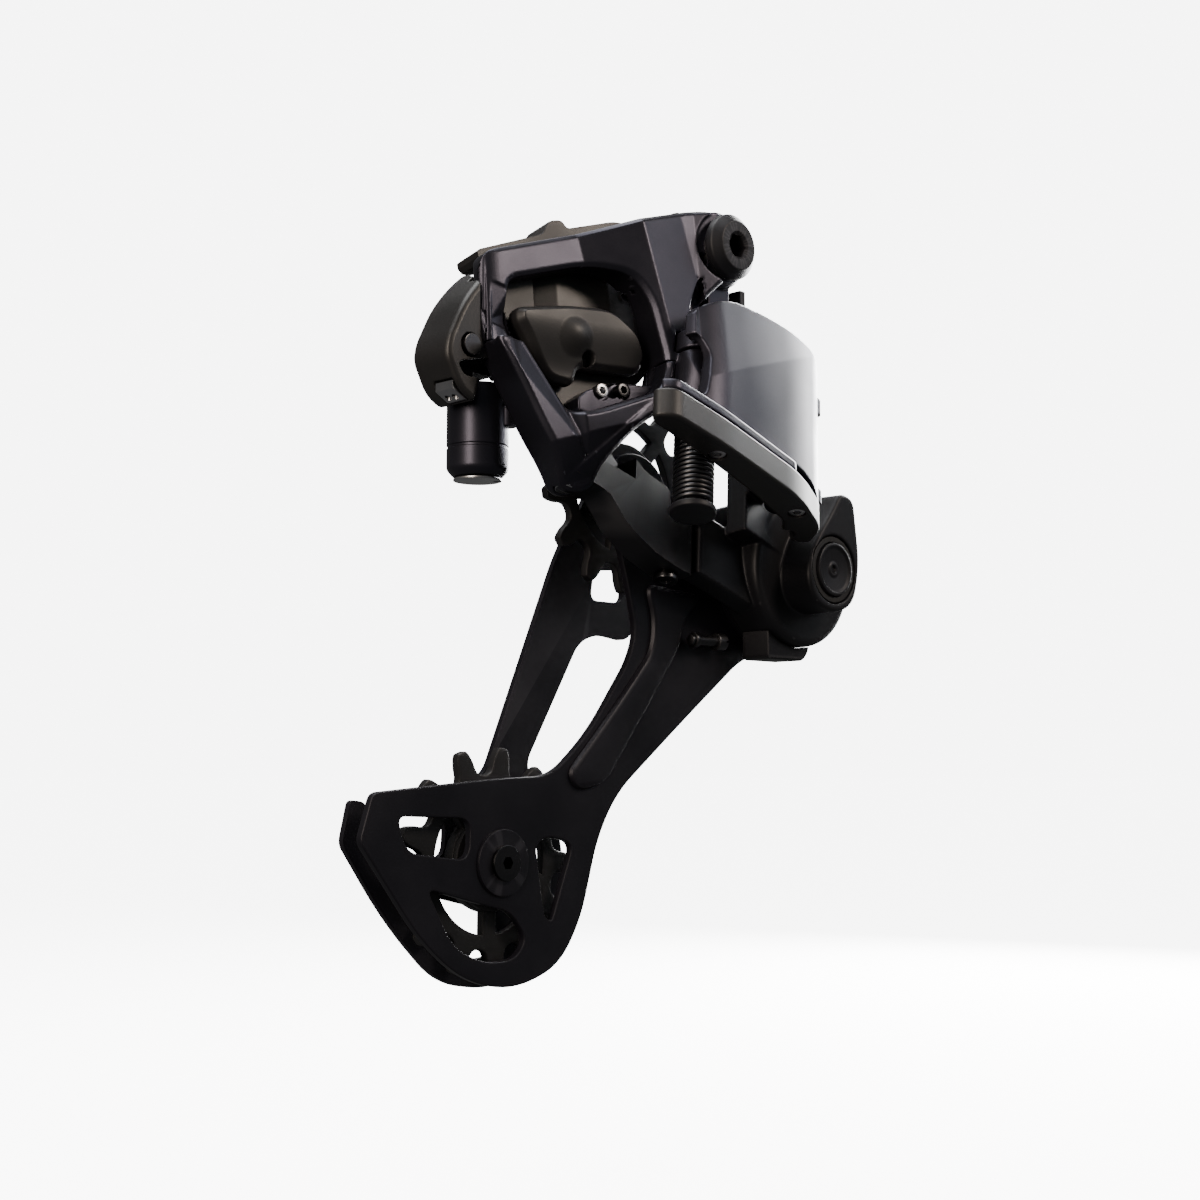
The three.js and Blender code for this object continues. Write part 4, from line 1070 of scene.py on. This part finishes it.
def toothed(centre, phase):
    """Outline with round roller seats between narrow teeth."""
    step = 2 * pi / TEETH
    root = PITCH_RADIUS - 4.1
    tip = PITCH_RADIUS + 3.2
    flank = [
        (-0.5, root), (-0.4, root + 0.12), (-0.31, root + 0.7), (-0.25, root + 1.9), (-0.21, PITCH_RADIUS),
        (-0.15, tip - 1.2), (-0.1, tip - 0.2), (-0.06, tip), (0.06, tip), (0.1, tip - 0.2),
        (0.15, tip - 1.2), (0.21, PITCH_RADIUS), (0.25, root + 1.9), (0.31, root + 0.7), (0.4, root + 0.12),
    ]
    return [
        Vector((
            centre[0] + radius * cos(phase + (tooth + part) * step),
            centre[1] + radius * sin(phase + (tooth + part) * step),
        ))
        for tooth in range(TEETH)
        for part, radius in flank
    ]


def pocket(centre, middle):
    """Opening between two spokes."""
    inner, outer = POCKET_RADII
    spread = pi / POCKETS
    a, b = spread - HALF_SPOKE / inner, spread - HALF_SPOKE / outer
    inside = [(inner, middle - a + 2 * a * k / 8) for k in range(9)]
    outside = [(outer, middle + b - 2 * b * k / 12) for k in range(13)]
    return [Vector((centre[0] + r * cos(t), centre[1] + r * sin(t))) for r, t in inside + outside]


def pulley(centre, phase_degrees):
    phase = radians(phase_degrees)
    turns = [phase + (k + 0.5) * 2 * pi / POCKETS for k in range(POCKETS)]
    holes = [pocket(centre, turn) for turn in turns]
    wheel = slab([toothed(centre, phase)] + holes, PULLEY_PLANE - 1.3, PULLEY_PLANE + 1.3, 0.45, 1)
    hub = disc(12.5, PULLEY_PLANE - 2.6, PULLEY_PLANE + 2.6, centre, 0.4)
    return cut(joined(wheel, hub), disc(8.6, 0, 30, centre))


piece(pulley(GUIDE_AXIS, 188.4), "guide_pulley_moulding", "guide_pulley", sharp=28)
piece(pulley(TENSION_AXIS, 53.5), "tension_pulley_moulding", "tension_pulley", sharp=28)

# ---- every other CAD node: a softened copy, or the solid itself inside ---
INNER_NODES = ("battery", "reduction_gear", "motor_rotor", "cage_spring", "clutch_drum")


def softened(node, width=0.25):
    """Copy of a CAD node's solid, in millimetres, with its edges bevelled."""
    bm = bmesh.new()
    bm.from_mesh(NODES[node].data)
    bmesh.ops.scale(bm, vec=(1 / MM,) * 3, verts=bm.verts)
    return bevelled(faces_joined(from_bmesh(bm)), width)


def shown(node):
    return not NODES[node].hide_render


for node in [name for name in sorted(NODES) if shown(name)]:
    if node in INNER_NODES:
        NODES[node].data.materials.clear()
        NODES[node].data.materials.append(FINISHES[SLOT_OF[node]])
    else:
        piece(softened(node), node + "_softened", node, sharp=35)


# ---- floor, light and camera ---------------------------------------------
FLOOR_HEIGHT = cad_box[0][2] - 0.06  # clear of the part, which hangs from its bolt
PALE = 7.0  # radiance of the floor, and of the background as the camera sees it
AMBIENT = 0.12  # radiance of the background that lights the part
PART_MIDDLE = Vector((-0.02, 0, -0.1))
WARM = (1.0, 0.85, 0.72)
COOL = (0.86, 0.9, 1.0)
WHITE = (1.0, 1.0, 1.0)


def plain_floor():
    """Evenly pale floor, which the part neither reflects nor takes light from."""
    bm = bmesh.new()
    bmesh.ops.create_grid(bm, x_segments=2, y_segments=2, size=40)
    floor = from_bmesh(bm)
    floor.name = "floor"
    floor.location = (0, 0, FLOOR_HEIGHT)
    material, nodes, links, shader = principled("floor")
    paper = noise(nodes, links, 6)
    shade_of = mixed(nodes, links, paper.outputs["Fac"], (0.86, 0.86, 0.86), (0.9, 0.9, 0.9))
    links.new(shade_of, shader.inputs["Base Color"])
    shader.inputs["Roughness"].default_value = 0.9
    shader.inputs["Emission Color"].default_value = (1, 1, 1, 1)
    shader.inputs["Emission Strength"].default_value = PALE
    floor.data.materials.append(material)
    floor.visible_glossy = False
    floor.visible_diffuse = False


def softbox(name, towards, distance, width, height, watts, color):
    """Area light that looks at the middle of the part."""
    light = bpy.data.lights.new(name, "AREA")
    light.shape = "RECTANGLE"
    light.size = width
    light.size_y = height
    light.energy = watts
    light.color = color
    lamp = bpy.data.objects.new(name, light)
    direction = Vector(towards).normalized()
    lamp.location = PART_MIDDLE + direction * distance
    lamp.rotation_euler = direction.to_track_quat("Z", "Y").to_euler()
    bpy.context.scene.collection.objects.link(lamp)


def surroundings():
    world = bpy.data.worlds.new("studio")
    bpy.context.scene.world = world
    world.use_nodes = True
    nodes = world.node_tree.nodes
    links = world.node_tree.links
    background = nodes["Background"]
    path = nodes.new("ShaderNodeLightPath")
    strength = nodes.new("ShaderNodeMapRange")
    strength.inputs["To Min"].default_value = AMBIENT
    strength.inputs["To Max"].default_value = PALE
    links.new(path.outputs["Is Camera Ray"], strength.inputs["Value"])
    links.new(strength.outputs["Result"], background.inputs["Strength"])
    background.inputs["Color"].default_value = (1, 1, 1, 1)


CAMERA_PLACE = Vector((-0.3755, -0.3385, -0.1472))
AZIMUTH = radians(-45)
ELEVATION = radians(-5.5)


def camera():
    data = bpy.data.cameras.new("camera")
    data.sensor_width = 36
    data.lens = 54
    data.clip_start = 0.01
    eye = bpy.data.objects.new("camera", data)
    back = Vector((
        sin(AZIMUTH) * cos(ELEVATION), -cos(AZIMUTH) * cos(ELEVATION), sin(ELEVATION),
    ))
    eye.location = CAMERA_PLACE
    eye.rotation_euler = back.to_track_quat("Z", "Y").to_euler()
    bpy.context.scene.collection.objects.link(eye)
    bpy.context.scene.camera = eye


plain_floor()
surroundings()
softbox("left", (-0.9, -0.24, 0.33), 0.7, 0.2, 0.55, 5, WARM)
softbox("right_back", (0.9, 0.26, 0.36), 0.7, 0.45, 0.6, 26, WHITE)
softbox("front_high", (0.3, -0.76, 0.58), 0.7, 0.2, 0.16, 2.4, WARM)
softbox("front_fill", (0.68, -0.55, 0.48), 0.9, 0.6, 0.5, 1.1, COOL)
softbox("top", (-0.1, 0.1, 1.0), 0.7, 0.6, 0.5, 6, WHITE)
camera()
